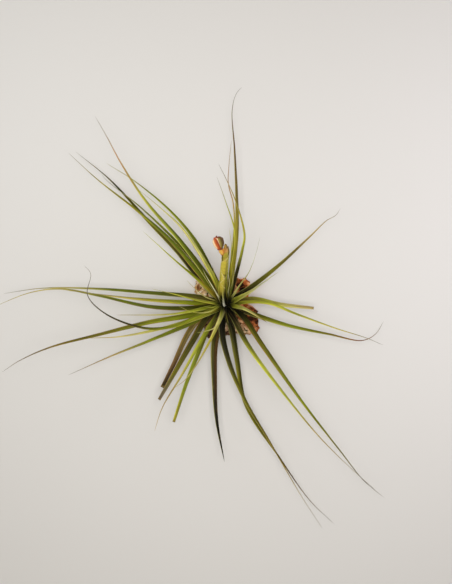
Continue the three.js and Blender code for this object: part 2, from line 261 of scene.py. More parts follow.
# Leaves. Plan positions are as the camera sees them at seenLevel; a point higher than that
# level lies nearer the middle of the view than it looks. Pairs are for the oldest leaf and the
# youngest where the note says so.
leafForm = {
    "seenLevel": 50,
    "attach": (31, 62),                 # height of the foot, oldest and youngest
    "rise": (0.32, 2.9),                # slope at the foot, oldest and youngest
    "riseCurve": 1.35,                  # power of the age that the slope goes by
    "riseFrom": 4,                      # plan distance where the climb starts
    "archRadius": 72,                   # plan distance over which a leaf bends to level
    "sag": 13, "sagReach": 200,         # how far it sags, and by what distance
    "footGap": (0.5, 1.0),              # from the stem to the foot's middle, oldest and youngest
    "baseIn": 3.2, "baseDown": 7,       # how far a leaf's base runs on into the heart
    "footWidth": 8.2,                   # widest that a foot is, where the leaves wrap the stem
    "footSpread": (5, 30),              # plan distances over which it takes its own width
    "thread": 0.36,                     # width of the dry thread at the tip
    "taper": 1.28,                      # power of the narrowing from foot to tip
    "tipCloses": (0.85, 0.6, 0.25),     # how much is left of the last sections
    "channel": (0.42, 0.24, 0.1),       # depth over width: at the foot, which clasps the stem,
    "channelReach": (5, 34, 110),       # and at these distances in plan; flatter further out
    "crease": 0.16,                     # rounding at the channel's bottom, in half-widths
    "thickness": 0.125,                 # as a share of the width
    "thinnest": 0.36,
    "linePoints": 400,
    "spacing": 2.0, "fewest": 24,       # distance between sections, and how few there may be
    "halfSection": 11,                  # points across the upper face
    "roll": 0.2,                        # largest lean of the blade, in radians
    "rollLength": (60, 110),            # length of a lean's wave over 2 pi, least and most
    "apart": 60, "underApart": 25,      # these keep the pattern of each leaf and face its own
    "seed": 400,
    "wander": 0.035,                    # usual lead of one half's tones, as a share of the length
    "margin": (0.7, 0.94),              # share of the half-width over which the margin begins
    "paleMargins": 0.75,                # chance that a leaf's margins are pale, not orange
    "trough": (0.22, 0.25),             # width and depth of the shade along the channel
    "underside": ("6c6a34", 0.3),       # its tone, and how much of it
    "hubShade": (8, 19),                # painted shade at the foot: plan distance that stays dark, and that turns it green
    "hubShadeLevel": 0.035,                   # brightness left at the leaf base under the full painted shade
    "paintedShadeSide": (0.86, 0.5),           # plan direction that a blade's painted darker half looks to, away from the light
    # strength of the painted light and shade between a blade's two halves
    "paintedFlankContrast": 0.5,
    "dryPlaces": (0, 0.5, 0.85, 1),     # shares of the length, and how dry it is there
    "dryness": (0.02, 0.08, 0.28, 0.4),
    "cutEdge": (0.97, 0.99),            # shares of the length over which a cut end turns brown
}

# The two darkest tones stand mostly for painted shade, at the feet among the leaves and on blades that
# face away from the light. The whitest is the youngest leaf's pale foot, brightened into a painted
# highlight.
leafTones = {
    "night": "0f0b05", "shadow": "2a2609", "darkOlive": "44400a", "deep": "454a06",
    "olive": "66620c", "green": "606a0e", "fresh": "7c8418", "lime": "a4a634",
    "yellow": "a89e30", "gold": "a38f24", "pale": "c0bc6c", "silver": "c4c4a4",
    "cream": "eae7ba", "straw": "b7ab62", "tan": "a58f58", "orange": "a87440",
    "redBrown": "7c4a2c", "brown": "5e4426", "umber": "6f5f24", "greyBrown": "6e6354",
    "grey": "948f86", "white": "fbf9ea",
}

# Each leaf: age from 0, the oldest and lowest, to 1, the bearing of its foot on the stem in
# degrees, its width, its slot, its tones from foot to tip and its course as seen from above.
# taper is the power of its narrowing, and baseLength the length of its painted shade at the foot over
# the usual.
# A leaf with cut ends blunt, that wide. A leaf with its own foot has a course with heights.
# half gives one half another tone: which (1 is the right one, looking to the tip), the tone,
# how much of it, and up to what share of the length. Near-black and dark olive halves are painted
# shade on the side away from the light; a tan half is partly the blade's own colour and partly
# painted highlight, and a red-brown half is the blade's own colour.
leaves = {
    "upper_left_1": {"age": 0.12, "bearing": 104, "width": 8.4, "slot": "leaf_dark",
        "tones": "shadow deep fresh fresh straw",
        "course": [(-19, 44), (-40, 83), (-73, 122), (-120, 161), (-155, 183)]},
    "upper_left_2": {"age": 0.54, "bearing": 112, "width": 9.4, "slot": "leaf_lime",
        "tones": "darkOlive lime pale pale silver",
        "course": [(-18.5, 39), (-38, 72), (-59, 101), (-86, 126), (-115, 150)]},
    "upper_left_3": {"age": 0.42, "bearing": 124, "width": 9.4, "slot": "leaf_green",
        "tones": "olive deep green lime orange grey",
        "course": [(-30, 44), (-60, 83), (-105, 135), (-138, 186), (-155, 218), (-170, 244)]},
    "upper_left_4": {"age": 0.22, "bearing": 128, "width": 7.2, "slot": "leaf_olive",
        "tones": "olive shadow green fresh grey",
        "course": [(-31, 44), (-66, 83), (-112, 127), (-155, 161), (-161, 168)]},
    "upper_left_5": {"age": 0.02, "bearing": 146, "width": 11.4, "slot": "leaf_dark",
        "tones": "darkOlive shadow olive shadow grey",
        "course": [(-32, 31), (-64, 70), (-99, 106), (-151, 162), (-195, 198)]},
    "upper_left_6": {"age": 0.32, "bearing": 138, "width": 9, "slot": "leaf_green",
        "tones": "olive green green yellow grey",
        "course": [(-38, 44), (-72, 83), (-112, 119), (-168, 163), (-205, 197)]},
    "upper_left_7": {"age": 0.66, "bearing": 146, "width": 7.6, "slot": "leaf_lime",
        "baseLength": 1.3, "tones": "darkOlive gold fresh lime pale",
        "course": [(-34, 30), (-66, 57), (-86, 75), (-108, 95)]},
    "upper_left_8": {"age": 0.83, "bearing": 156, "width": 3, "slot": "leaf_pale",
        "tones": "shadow olive straw straw pale",
        "course": [(-27, 10), (-42, 22), (-51, 31)]},
    "upper_left_9": {"age": 0.74, "bearing": 118, "width": 4.2, "slot": "leaf_lime",
        "tones": "darkOlive olive lime lime yellow",
        "course": [(-9, 20), (-12, 29), (-18, 51)]},
    "upper_left_10": {"age": 1, "bearing": 160, "width": 3, "slot": "leaf_pale",
        "baseLength": 0.6, "tones": "greyBrown cream cream cream pale",
        "course": [(-11.5, 13), (-18.7, 25), (-25, 35.5), (-31, 47)]},

    "top_1": {"age": 0.16, "bearing": 72, "width": 8.8, "slot": "leaf_green",
        "tones": "fresh yellow umber brown grey",
        "course": [(8, 44), (14, 96), (14, 135), (11, 203), (8, 252), (13, 273), (21, 283)]},
    "top_2": {"age": 0.28, "bearing": 82, "width": 4.4, "slot": "leaf_olive",
        "tones": "darkOlive fresh yellow orange tan",
        "course": [(5, 40), (9, 75), (11, 109), (9, 133), (3, 157), (4, 183), (7, 213)]},
    "top_3": {"age": 0.52, "bearing": 56, "width": 7, "slot": "leaf_dark",
        "baseLength": 1.5, "tones": "night shadow shadow lime yellow tan greyBrown",
        "course": [(12, 35), (21, 70), (24, 90), (14, 130), (1, 161), (-10, 183)]},
    "top_4": {"age": 0.4, "bearing": 80, "width": 6.2, "slot": "leaf_lime",
        "tones": "olive yellow yellow lime grey",
        "course": [(6, 38), (12, 90), (-1, 135), (-12, 166)]},
    "top_5": {"age": 0.64, "bearing": 76, "width": 4.2, "slot": "leaf_lime",
        "tones": "darkOlive olive olive yellow pale",
        "course": [(5, 44), (7, 75), (4, 99)]},
    "top_6": {"age": 0.86, "bearing": 66, "width": 2.6, "slot": "leaf_pale",
        "tones": "olive cream pale cream pale",
        "course": [(3, 18), (4.5, 26), (2, 46)]},
    # its foot is kept out of the painted hub shade and is near white, partly the young leaf's own pale
    # and partly painted highlight
    "top_7": {"foot": (-1.6, -2.2, 62), "age": 1, "baseLength": 0.05, "width": 4, "slot": "leaf_pale",
        "tones": "white white pale yellow lime",
        "course": [(-2.8, 0.6, 70), (-3.6, 8, 92), (-4.2, 15, 108), (-3.8, 24, 124), (-5, 31, 136)]},
    "top_8": {"age": 0.72, "bearing": 44, "width": 4.6, "taper": 2, "slot": "leaf_lime",
        "tones": "olive pale pale silver silver",
        "course": [(18, 25), (30, 42), (40, 70), (44, 87)]},

    "right_1": {"age": 0.2, "bearing": 38, "width": 9.6, "slot": "leaf_dark",
        "baseLength": 1.3, "tones": "night shadow olive umber tan grey",
        "course": [(31, 21), (70, 52), (109, 88), (131, 109), (143, 116), (149, 125)]},
    "right_2": {"age": 0.6, "bearing": 24, "width": 9.2, "slot": "leaf_lime",
        "baseLength": 0.6, "tones": "lime lime pale silver straw",
        "course": [(31, 16), (47, 27), (68, 42)]},
    "right_3": {"age": 0.06, "bearing": 14, "width": 8.8, "slot": "leaf_pale", "cut": 3.6,
        "tones": "umber umber lime straw tan",
        "course": [(34, 7), (70, 0), (114, -5)]},
    "right_4": {"age": 0.34, "bearing": 0, "width": 6, "slot": "leaf_green",
        "tones": "olive lime lime yellow grey",
        "course": [(31, 3), (57, 1), (90, -12), (142, -31), (183, -44), (204, -53)]},
    "right_5": {"age": 0.76, "bearing": -8, "width": 7.4, "slot": "leaf_lime",
        "baseLength": 0.7, "taper": 0.9, "tones": "olive lime pale straw umber",
        "course": [(25, -6), (53.5, -23.5)]},
    "right_6": {"age": 0.02, "bearing": -20, "width": 8.8, "slot": "leaf_green",
        "baseLength": 2.8, "tones": "night olive fresh olive redBrown grey",
        "course": [(51, -18), (83, -28), (135, -39), (177, -47), (194, -39), (205, -22)]},

    "lower_right_1": {"age": 0.24, "bearing": -38, "width": 9, "taper": 1.45, "slot": "leaf_green",
        "baseLength": 3, "tones": "shadow olive fresh olive greyBrown",
        "course": [(20.8, -14.5), (46.8, -52.6), (99.4, -127.4), (148, -190), (179, -229), (205, -251)]},
    "lower_right_2": {"age": 0.42, "bearing": -58, "width": 9.8, "taper": 1.9, "slot": "leaf_green",
        "baseLength": 3.2, "half": (-1, "tan", 0.7, 0.2),
        "tones": "night darkOlive lime lime tan tan greyBrown",
        "course": [(10, -18), (27, -51), (68, -107), (122, -173), (173, -223), (194, -241)]},
    "lower_right_3": {"age": 0.14, "bearing": -98, "width": 11, "taper": 1.9, "slot": "leaf_green",
        "baseLength": 3.2, "tones": "night shadow olive umber tan greyBrown",
        "course": [(-5, -34), (4, -75), (25, -125), (57, -179), (96, -246), (125, -291)]},
    "lower_right_4": {"age": 0, "bearing": -80, "width": 10.2, "taper": 1.6, "slot": "leaf_dark",
        "baseLength": 3.3, "half": (-1, "night", 0.5, 0.75),
        "tones": "night olive olive brown brown",
        "course": [(7, -29), (14, -70), (26, -131), (70, -200), (109, -255), (140, -285)]},

    "lower_1": {"age": 0.06, "bearing": -112, "width": 12.4, "taper": 0.85, "slot": "leaf_dark",
        "baseLength": 2.8, "half": (-1, "redBrown", 0.4, 0.75),
        "tones": "shadow darkOlive shadow night night",
        "course": [(-14, -47), (-15, -99), (-12, -151), (-2, -205)]},
    "lower_2": {"age": 0.6, "bearing": -114, "width": 8.2, "taper": 1.4, "slot": "leaf_lime",
        "baseLength": 0.6, "tones": "greyBrown pale yellow straw tan",
        "course": [(-9, -22), (-18, -42), (-38, -78), (-53, -98), (-69, -110)]},
    "lower_3": {"age": 0.38, "bearing": -132, "width": 8.4, "slot": "leaf_green",
        "baseLength": 2.2, "tones": "darkOlive fresh lime tan tan",
        "course": [(-27, -38), (-57, -91), (-83, -135), (-93, -165)]},
    "lower_4": {"age": 0.26, "bearing": -124, "width": 8, "slot": "leaf_green", "cut": 3.6,
        "baseLength": 2.6, "half": (-1, "darkOlive", 0.6, 0.75),
        "tones": "shadow olive fresh fresh yellow",
        "course": [(-23, -31), (-35, -60), (-52, -104), (-68, -153)]},
    "lower_5": {"age": 0, "bearing": -160, "width": 9.8, "slot": "leaf_dark", "cut": 4.6,
        "baseLength": 1.8, "half": (-1, "tan", 0.6, 0.75),
        "tones": "darkOlive umber umber brown shadow",
        "course": [(-30, -14), (-48, -36), (-68, -78), (-83, -108)]},
    "lower_6": {"age": 0.18, "bearing": -146, "width": 11, "slot": "leaf_olive", "cut": 4,
        "baseLength": 2.4, "tones": "night darkOlive darkOlive olive greyBrown",
        "course": [(-25, -17), (-43, -47), (-72, -98), (-87, -124)]},
    "lower_7": {"age": 0.92, "bearing": -134, "width": 4.6, "slot": "leaf_lime",
        "tones": "darkOlive lime pale pale pale",
        "course": [(-9, -22), (-16, -31), (-27, -35), (-38, -37)]},

    "left_1": {"age": 0.08, "bearing": 164, "width": 8, "slot": "leaf_olive",
        "tones": "umber deep green straw grey",
        "course": [(-34, 9), (-99, 15), (-164, 20), (-237, 21), (-289, 14)]},
    "left_2": {"age": 0.74, "bearing": 178, "width": 5, "slot": "leaf_lime",
        "baseLength": 1.3, "tones": "fresh lime lime lime pale",
        "course": [(-40, 6), (-66, 13), (-96, 20)]},
    "left_3": {"age": 0.2, "bearing": 174, "width": 9, "slot": "leaf_olive",
        "baseLength": 1.3, "tones": "olive fresh yellow straw straw",
        "course": [(-60, 3), (-125, 8), (-190, 16), (-208, 18)]},
    "left_4": {"age": 0.32, "bearing": -172, "width": 7.8, "slot": "leaf_green",
        "tones": "darkOlive deep green straw straw",
        "course": [(-47, -5), (-99, -3), (-164, 11), (-216, 20), (-255, 15), (-304, -4)]},
    "left_5": {"age": 0.6, "bearing": -178, "width": 6.4, "slot": "leaf_lime",
        "baseLength": 1.3, "tones": "olive fresh lime straw tan",
        "course": [(-47, -9), (-73, -13), (-143, -14)]},
    "left_6": {"age": 0.45, "bearing": -164, "width": 9.4, "taper": 1.1, "slot": "leaf_green",
        "tones": "green fresh olive umber grey",
        "course": [(-47, -14), (-99, -23), (-164, -39), (-229, -56), (-268, -73), (-291, -88)]},
    "left_7": {"age": 0.68, "bearing": -160, "width": 7.4, "slot": "leaf_dark",
        "tones": "olive fresh fresh shadow shadow grey",
        "course": [(-40, -17), (-66, -28), (-105, -31), (-157, -12), (-180, 12), (-176, 40),
                   (-185, 51)]},
    "left_8": {"age": 0.53, "bearing": -148, "width": 8.8, "taper": 1.1, "slot": "leaf_olive",
        "baseLength": 1.3, "tones": "darkOlive fresh lime straw tan",
        "course": [(-47, -21), (-86, -32), (-138, -42), (-179, -44)]},
    "left_9": {"age": 0.1, "bearing": -146, "width": 8.8, "slot": "leaf_green",
        "baseLength": 1.3, "tones": "darkOlive green fresh tan grey",
        "course": [(-47, -25), (-99, -47), (-151, -68), (-205, -92)]},
    "left_10": {"age": 0.88, "bearing": -168, "width": 3.4, "slot": "leaf_lime",
        "tones": "fresh lime pale lime pale",
        "course": [(-23, -10), (-44, -10), (-62, -2)]},
}

# Small young leaves that fill the heart, round the foot of the flower stalk and up along it
heartLeaves = {
    "1": {"foot": (-3, -0.5, 60), "age": 1, "baseLength": 2, "width": 4.4, "slot": "leaf_lime",
        "tones": "green fresh yellow lime pale",
        "course": [(-6.5, 4, 76), (-8.6, 12, 91), (-9, 26, 110), (-6.6, 38, 125), (-5.4, 47, 136)]},
    "2": {"foot": (3, 1, 60), "age": 1, "baseLength": 2, "width": 4, "slot": "leaf_green",
        "tones": "shadow olive fresh yellow pale",
        "course": [(3, 5, 74), (1.2, 16, 92), (0.4, 32, 112), (1.4, 46, 126), (2.6, 56, 134)]},
    "3": {"age": 0.85, "bearing": 98, "width": 4.4, "slot": "leaf_green",
        "tones": "darkOlive olive fresh lime pale",
        "course": [(-1, 18), (1, 34), (3, 56), (1, 74)]},
    "4": {"age": 0.9, "bearing": 52, "width": 4.2, "slot": "leaf_olive",
        "tones": "shadow olive green straw pale",
        "course": [(6, 14), (9, 28), (9, 48)]},
    "5": {"age": 0.97, "bearing": 20, "width": 4, "slot": "leaf_green",
        "tones": "shadow olive fresh lime pale",
        "course": [(8, 3), (14, 9), (22, 14)]},
    "6": {"age": 0.94, "bearing": -30, "width": 4, "slot": "leaf_dark",
        "tones": "night shadow darkOlive olive olive",
        "course": [(8, -6), (15, -13), (20, -20)]},
    "7": {"age": 0.95, "bearing": -95, "width": 4, "slot": "leaf_dark",
        "tones": "night shadow darkOlive olive straw",
        "course": [(0, -9), (1, -17), (3, -25)]},
    "8": {"age": 0.93, "bearing": 200, "width": 3.6, "slot": "leaf_olive",
        "tones": "shadow olive fresh lime pale",
        "course": [(-9, -1), (-18, -4), (-28, -3)]},
}

# Broad bases, low on the stem, of old leaves that lost their blades, coloured near black and
# kept dark as painted shade in the deep heart: age, bearing, width, last two tones and course
shadeFillBases = [
    (0.5, -12, 8, "darkOlive umber", [(12, -4), (22, -9), (30, -13)]),
    (0.42, -32, 8, "shadow greyBrown", [(11, -8), (20, -17), (25, -25)]),
    (0.5, -50, 8, "shadow umber", [(8, -12), (14, -22), (18, -31)]),
    (0.36, -68, 8, "shadow greyBrown", [(4, -14), (8, -24), (11, -32)]),
    (0.5, -88, 8, "darkOlive umber", [(0, -14), (1, -23), (1, -31)]),
    (0.4, -122, 7.4, "darkOlive umber", [(-8, -12), (-14, -20), (-19, -27)]),
    (0.5, -146, 7, "darkOlive umber", [(-11, -8), (-19, -13), (-25, -18)]),
    (0.4, 36, 7, "darkOlive umber", [(11, 8), (18, 14), (24, 18)]),
]
for age, bearing, width, lastTones, course in shadeFillBases:
    heartLeaves[str(len(heartLeaves) + 1)] = {
        "age": age, "bearing": bearing, "width": width, "slot": "leaf_dark", "baseLength": 3,
        "tones": "night night shadow " + lastTones, "course": course}

# The stem: a column that narrows from the bark up and closes before its taper would end
stemForm = {
    "foot": 18.3, "top": 62,            # the column's own ends
    "bark": 27, "taperEnd": 67,         # heights between which the radius shrinks
    "footRadius": 6.4, "tipRadius": 5.4,
    "rings": 110, "around": 72,
    "footClosed": 0.75,                 # how much is left of the lowest ring
    "domeFrom": 56,                     # height where the top starts to round off
    "scarHeight": 4.2, "scarStarts": 2,         # the leaf scars step round as two spirals
    "scarDepth": 0.55, "scarLip": 0.75,
    "grain": 0.25, "grainSize": 2.0,
    "tones": "5b4326 9a8456 6d7430",    # body, scar rims and the greener top
    "green": (36, 48), "dark": (42, 54),        # heights over which it turns green, then dark as painted shade among the leaf bases
}


def stemRadiusAt(z):
    # Straight taper from the foot radius at the bark to the tip radius at the taper's end
    share = np.clip((z - stemForm["bark"]) / (stemForm["taperEnd"] - stemForm["bark"]), 0, 1)
    return between((stemForm["footRadius"], stemForm["tipRadius"]), share)


def fromView(seen, z):
    # A seen plan point moved towards the middle of the view by its height over the seen level
    middle = np.array(view["middle"], float)
    pull = 1 - (z - leafForm["seenLevel"]) / (view["height"] - leafForm["seenLevel"])
    return np.column_stack([middle + (seen - middle) * pull[:, None], z])


def leafHeight(age, reach):
    # Foot height, plus a climb that eases off with distance, less a sag with its square
    rise = between(leafForm["rise"], age ** leafForm["riseCurve"])
    arch = leafForm["archRadius"]
    climb = rise * arch * (1 - np.exp(-np.maximum(reach - leafForm["riseFrom"], 0) / arch))
    sag = leafForm["sag"] * (reach / leafForm["sagReach"]) ** 2
    return between(leafForm["attach"], age) + climb - sag


def withBase(line):
    # The same line, begun deeper in the plant. Each added point goes back along the line's own
    # start and, by eased steps, in towards the axis and down the stem.
    into, down = leafForm["baseIn"], leafForm["baseDown"]
    added = 8
    t = np.linspace(1, 0, added + 1)[:-1, None]
    inward = line[0] * [1, 1, 0]
    inward /= max(np.linalg.norm(inward), 1e-6)
    start = line[1] - line[0]
    start /= np.linalg.norm(start)
    base = line[0] - start * t * down * 0.5 - inward * into * t ** 1.5
    base[:, 2] -= down * 0.6 * t[:, 0] ** 1.3
    return np.vstack([base, line])


def leafLine(leaf):
    # Middle line of the channel: the smooth course in plan, lifted to the leaf's height
    if "foot" in leaf:
        line = smoothCurve([leaf["foot"], *leaf["course"]], leafForm["linePoints"])
        return withBase(fromView(line[:, :2], line[:, 2]))
    attach = between(leafForm["attach"], leaf["age"])
    start = stemRadiusAt(attach) + between(leafForm["footGap"], leaf["age"])
    bearing = np.radians(leaf["bearing"])
    foot = (start * np.cos(bearing), start * np.sin(bearing))
    plan = smoothCurve([foot, *leaf["course"]], leafForm["linePoints"])
    return withBase(fromView(plan, leafHeight(leaf["age"], np.hypot(*plan.T))))


def carriedFrame(line):
    # Direction along the line, the level direction across it, and the one square to both
    along = np.gradient(line, axis=0)
    along /= np.linalg.norm(along, axis=1)[:, None]
    side = np.column_stack([along[:, 1], -along[:, 0], np.zeros(len(line))])
    side /= np.linalg.norm(side, axis=1)[:, None]
    return along, side, np.cross(side, along)


def bladeSection(halfPoints):
    # Places across a blade: the upper face from left to right, then the lower face back. They
    # are partly spaced by a cosine, which crowds them at the margins. Face is 1 above, -1 below.
    crowding = 0.55
    level = np.linspace(0, 1, halfPoints)
    upper = -crowding * np.cos(np.pi * level) + (1 - crowding) * (2 * level - 1)
    share = np.concatenate([upper, upper[-2:0:-1]])
    face = np.concatenate([[0], np.ones(halfPoints - 2), [0], -np.ones(halfPoints - 2)])
    return share, face


def bladeRings(line, width, thick, channel, roll, share, face):
    # Each ring: across by half the width, up by the channel's soft V and by half the thickness,
    # which thins towards the margins; then leaned by the roll about the leaf's own line
    side, up = carriedFrame(line)[1:]
    crease = leafForm["crease"]
    soft = (np.sqrt(share ** 2 + crease ** 2) - crease) / (np.sqrt(1 + crease ** 2) - crease)
    body = np.sqrt(np.clip(1 - share ** 2, 0, 1)) ** 0.8
    across = 0.5 * width[:, None] * share * (1 - 0.35 * (channel[:, None] * soft) ** 2)
    above = (channel * width)[:, None] * soft + 0.5 * thick[:, None] * (face * body - 1)
    turnedAcross = across * np.cos(roll)[:, None] - above * np.sin(roll)[:, None]
    turnedAbove = across * np.sin(roll)[:, None] + above * np.cos(roll)[:, None]
    return (line[:, None] + side[:, None] * turnedAcross[..., None]
            + up[:, None] * turnedAbove[..., None])


def leafColours(leaf, lengthShare, reach, share, face, side, draw):
    # Tones blended from foot to tip. Then, in turn: one half's own tone, painted light and shade
    # that darken the half away from the light and lighten the other, pale margins brightened on
    # the lit half as painted highlight, painted shade along the channel, the dull underside and
    # painted shade at the foot among the leaves.
    form = leafForm
    tones = np.array([linearFrom(leafTones[t]) for t in leaf["tones"].split()])
    stops = np.linspace(0, 1, len(tones))
    wander = lengthShare[:, None] + form["wander"] * draw.normal() * share[None]
    base = np.stack([np.interp(wander, stops, tones[:, k]) for k in range(3)], -1)
    half = 0
    if "half" in leaf:
        which, tone, amount, until = leaf["half"]
        half = amount * (1 - smoothstep(lengthShare, 0.5 * until, until))[:, None]
        half = half * smoothstep(which * share, -0.15, 0.35)[None]
        base = base + (linearFrom(leafTones[tone]) - base) * half[..., None]
    # painted light and shade: the half that looks to the shaded side is darker, the other lighter
    facingShade = (side[:, :2] @ np.array(form["paintedShadeSide"]))[:, None] * share[None]
    base = base * (1 - form["paintedFlankContrast"] * facingShade)[..., None]
    # pale margins: the blade's own pale edge, brightened much more on the lit half as painted highlight
    margin = smoothstep(np.abs(share), *form["margin"])[None] * np.clip(0.42 - 0.5 * facingShade, 0.06, 1)
    marginTone = linearFrom(leafTones["pale" if draw.random() < form["paleMargins"] else "orange"])
    base = base + (marginTone - base) * (margin * draw.uniform(0.8, 1.1))[..., None]
    # painted shade along the bottom of the channel
    narrow, dim = form["trough"]
    trough = (np.exp(-(share / narrow) ** 2) * (face > 0))[None, :, None]
    base = base * (1 - dim * trough)
    underTone, underShare = form["underside"]
    base = base + (linearFrom(underTone) - base) * (face < 0)[None, :, None] * underShare
    # painted shade at the foot among the leaves, longer where baseLength is greater
    near, fade = form["hubShade"]
    near = near * (1 - 0.5 * leaf["age"]) * min(leaf.get("baseLength", 1), 1)
    fade = fade * leaf.get("baseLength", 1) * (1.15 - 0.6 * leaf["age"])
    shade = smoothstep(reach, near, near + fade)[:, None] ** (1 - 0.5 * margin - 0.4 * half)
    return base * between((form["hubShadeLevel"], 1), shade)[..., None]


def leafDryness(leaf, lengthShare):
    # How dry the blade is at each place: more towards the tip, and brown at a cut end
    dry = np.interp(lengthShare, leafForm["dryPlaces"], leafForm["dryness"])
    if "cut" in leaf:
        return np.maximum(0.5 * dry, smoothstep(lengthShare, *leafForm["cutEdge"]))
    return dry


def makeLeaf(name, leaf, index, material):
    # One blade: sections along the leaf's line, whose width falls by a power of the way to the
    # tip, whose channel flattens and which leans by a slow wave
    form = leafForm
    draw = np.random.default_rng(form["seed"] + index)
    line = leafLine(leaf)
    line, travelled = evenly(line, max(form["fewest"], int(lengthsAlong(line)[-1] / form["spacing"])))
    lengthShare = travelled / travelled[-1]
    reach = np.hypot(line[:, 0], line[:, 1])
    end = leaf.get("cut", form["thread"])
    taper = 1 if "cut" in leaf else leaf.get("taper", form["taper"])
    width = end + (leaf["width"] - end) * (1 - lengthShare) ** taper
    opened = smoothstep(reach, *form["footSpread"])
    width = np.minimum(width, form["footWidth"]) * (1 - opened) + width * opened
    thick = np.maximum(form["thinnest"], form["thickness"] * width)
    channel = np.interp(reach, form["channelReach"], form["channel"])
    phase = draw.uniform(0, 2 * np.pi)
    roll = form["roll"] * np.sin(phase + travelled / draw.uniform(*form["rollLength"])) * opened
    share, face = bladeSection(form["halfSection"])
    rings = bladeRings(line, width, thick, channel, roll, share, face)
    if "cut" not in leaf:       # the tip closes to a point
        last = len(form["tipCloses"])
        close = np.array(form["tipCloses"])[:, None, None]
        rings[-last:] = line[-last:, None] + (rings[-last:] - line[-last:, None]) * close
    apart = form["apart"] * index + form["underApart"] * (np.roll(face, -1) + face < 0)
    left = 0.5 * width[:, None] * share + apart
    right = 0.5 * width[:, None] * np.roll(share, -1) + apart
    colour = leafColours(leaf, lengthShare, reach, share, face, carriedFrame(line)[1], draw)
    dry = np.repeat(leafDryness(leaf, lengthShare)[:, None], len(share), 1)
    piece = wrappedSkin(name + "_blade", rings, material, colours={"bladeColour": colour},
                        values={"dryness": dry}, across=(left, right), along=travelled)
    return piece


# Where most of a noise texture's values lie, as the settings of a range
noiseSpan = {"From Min": 0.3, "From Max": 0.7}

# Leaf blades: living leaf skin under a coat of pale scales, so matt, with only a faint sheen
bladeFinish = {
    "leaf_green": {"name": "scurfyGreenLeaf", "roughness": 0.5, "scales": 0.07, "line": 0.4},
    "leaf_olive": {"name": "scurfyOliveLeaf", "roughness": 0.54, "scales": 0.09, "line": 0.42},
    "leaf_lime": {"name": "youngLimeLeaf", "roughness": 0.46, "scales": 0.06, "line": 0.3},
    "leaf_pale": {"name": "silveryPaleLeaf", "roughness": 0.58, "scales": 0.2, "line": 0.26},
    "leaf_dark": {"name": "oldDarkLeaf", "roughness": 0.5, "scales": 0.06, "line": 0.42},
}
bladePattern = {
    "veinSpacing": 1.3,     # real veins are 0.4 mm apart; drawn coarser, to show from 1 m
    "veinLength": 45,
    "patch": (3.5, 21),     # width and length of the patches that dry and turn brown
    "patchTone": "86703e",
    "scale": 0.45,          # real scales are 0.3 mm; drawn a little coarser
    "scaleTone": "c6c594",
    "relief": 0.16,
}


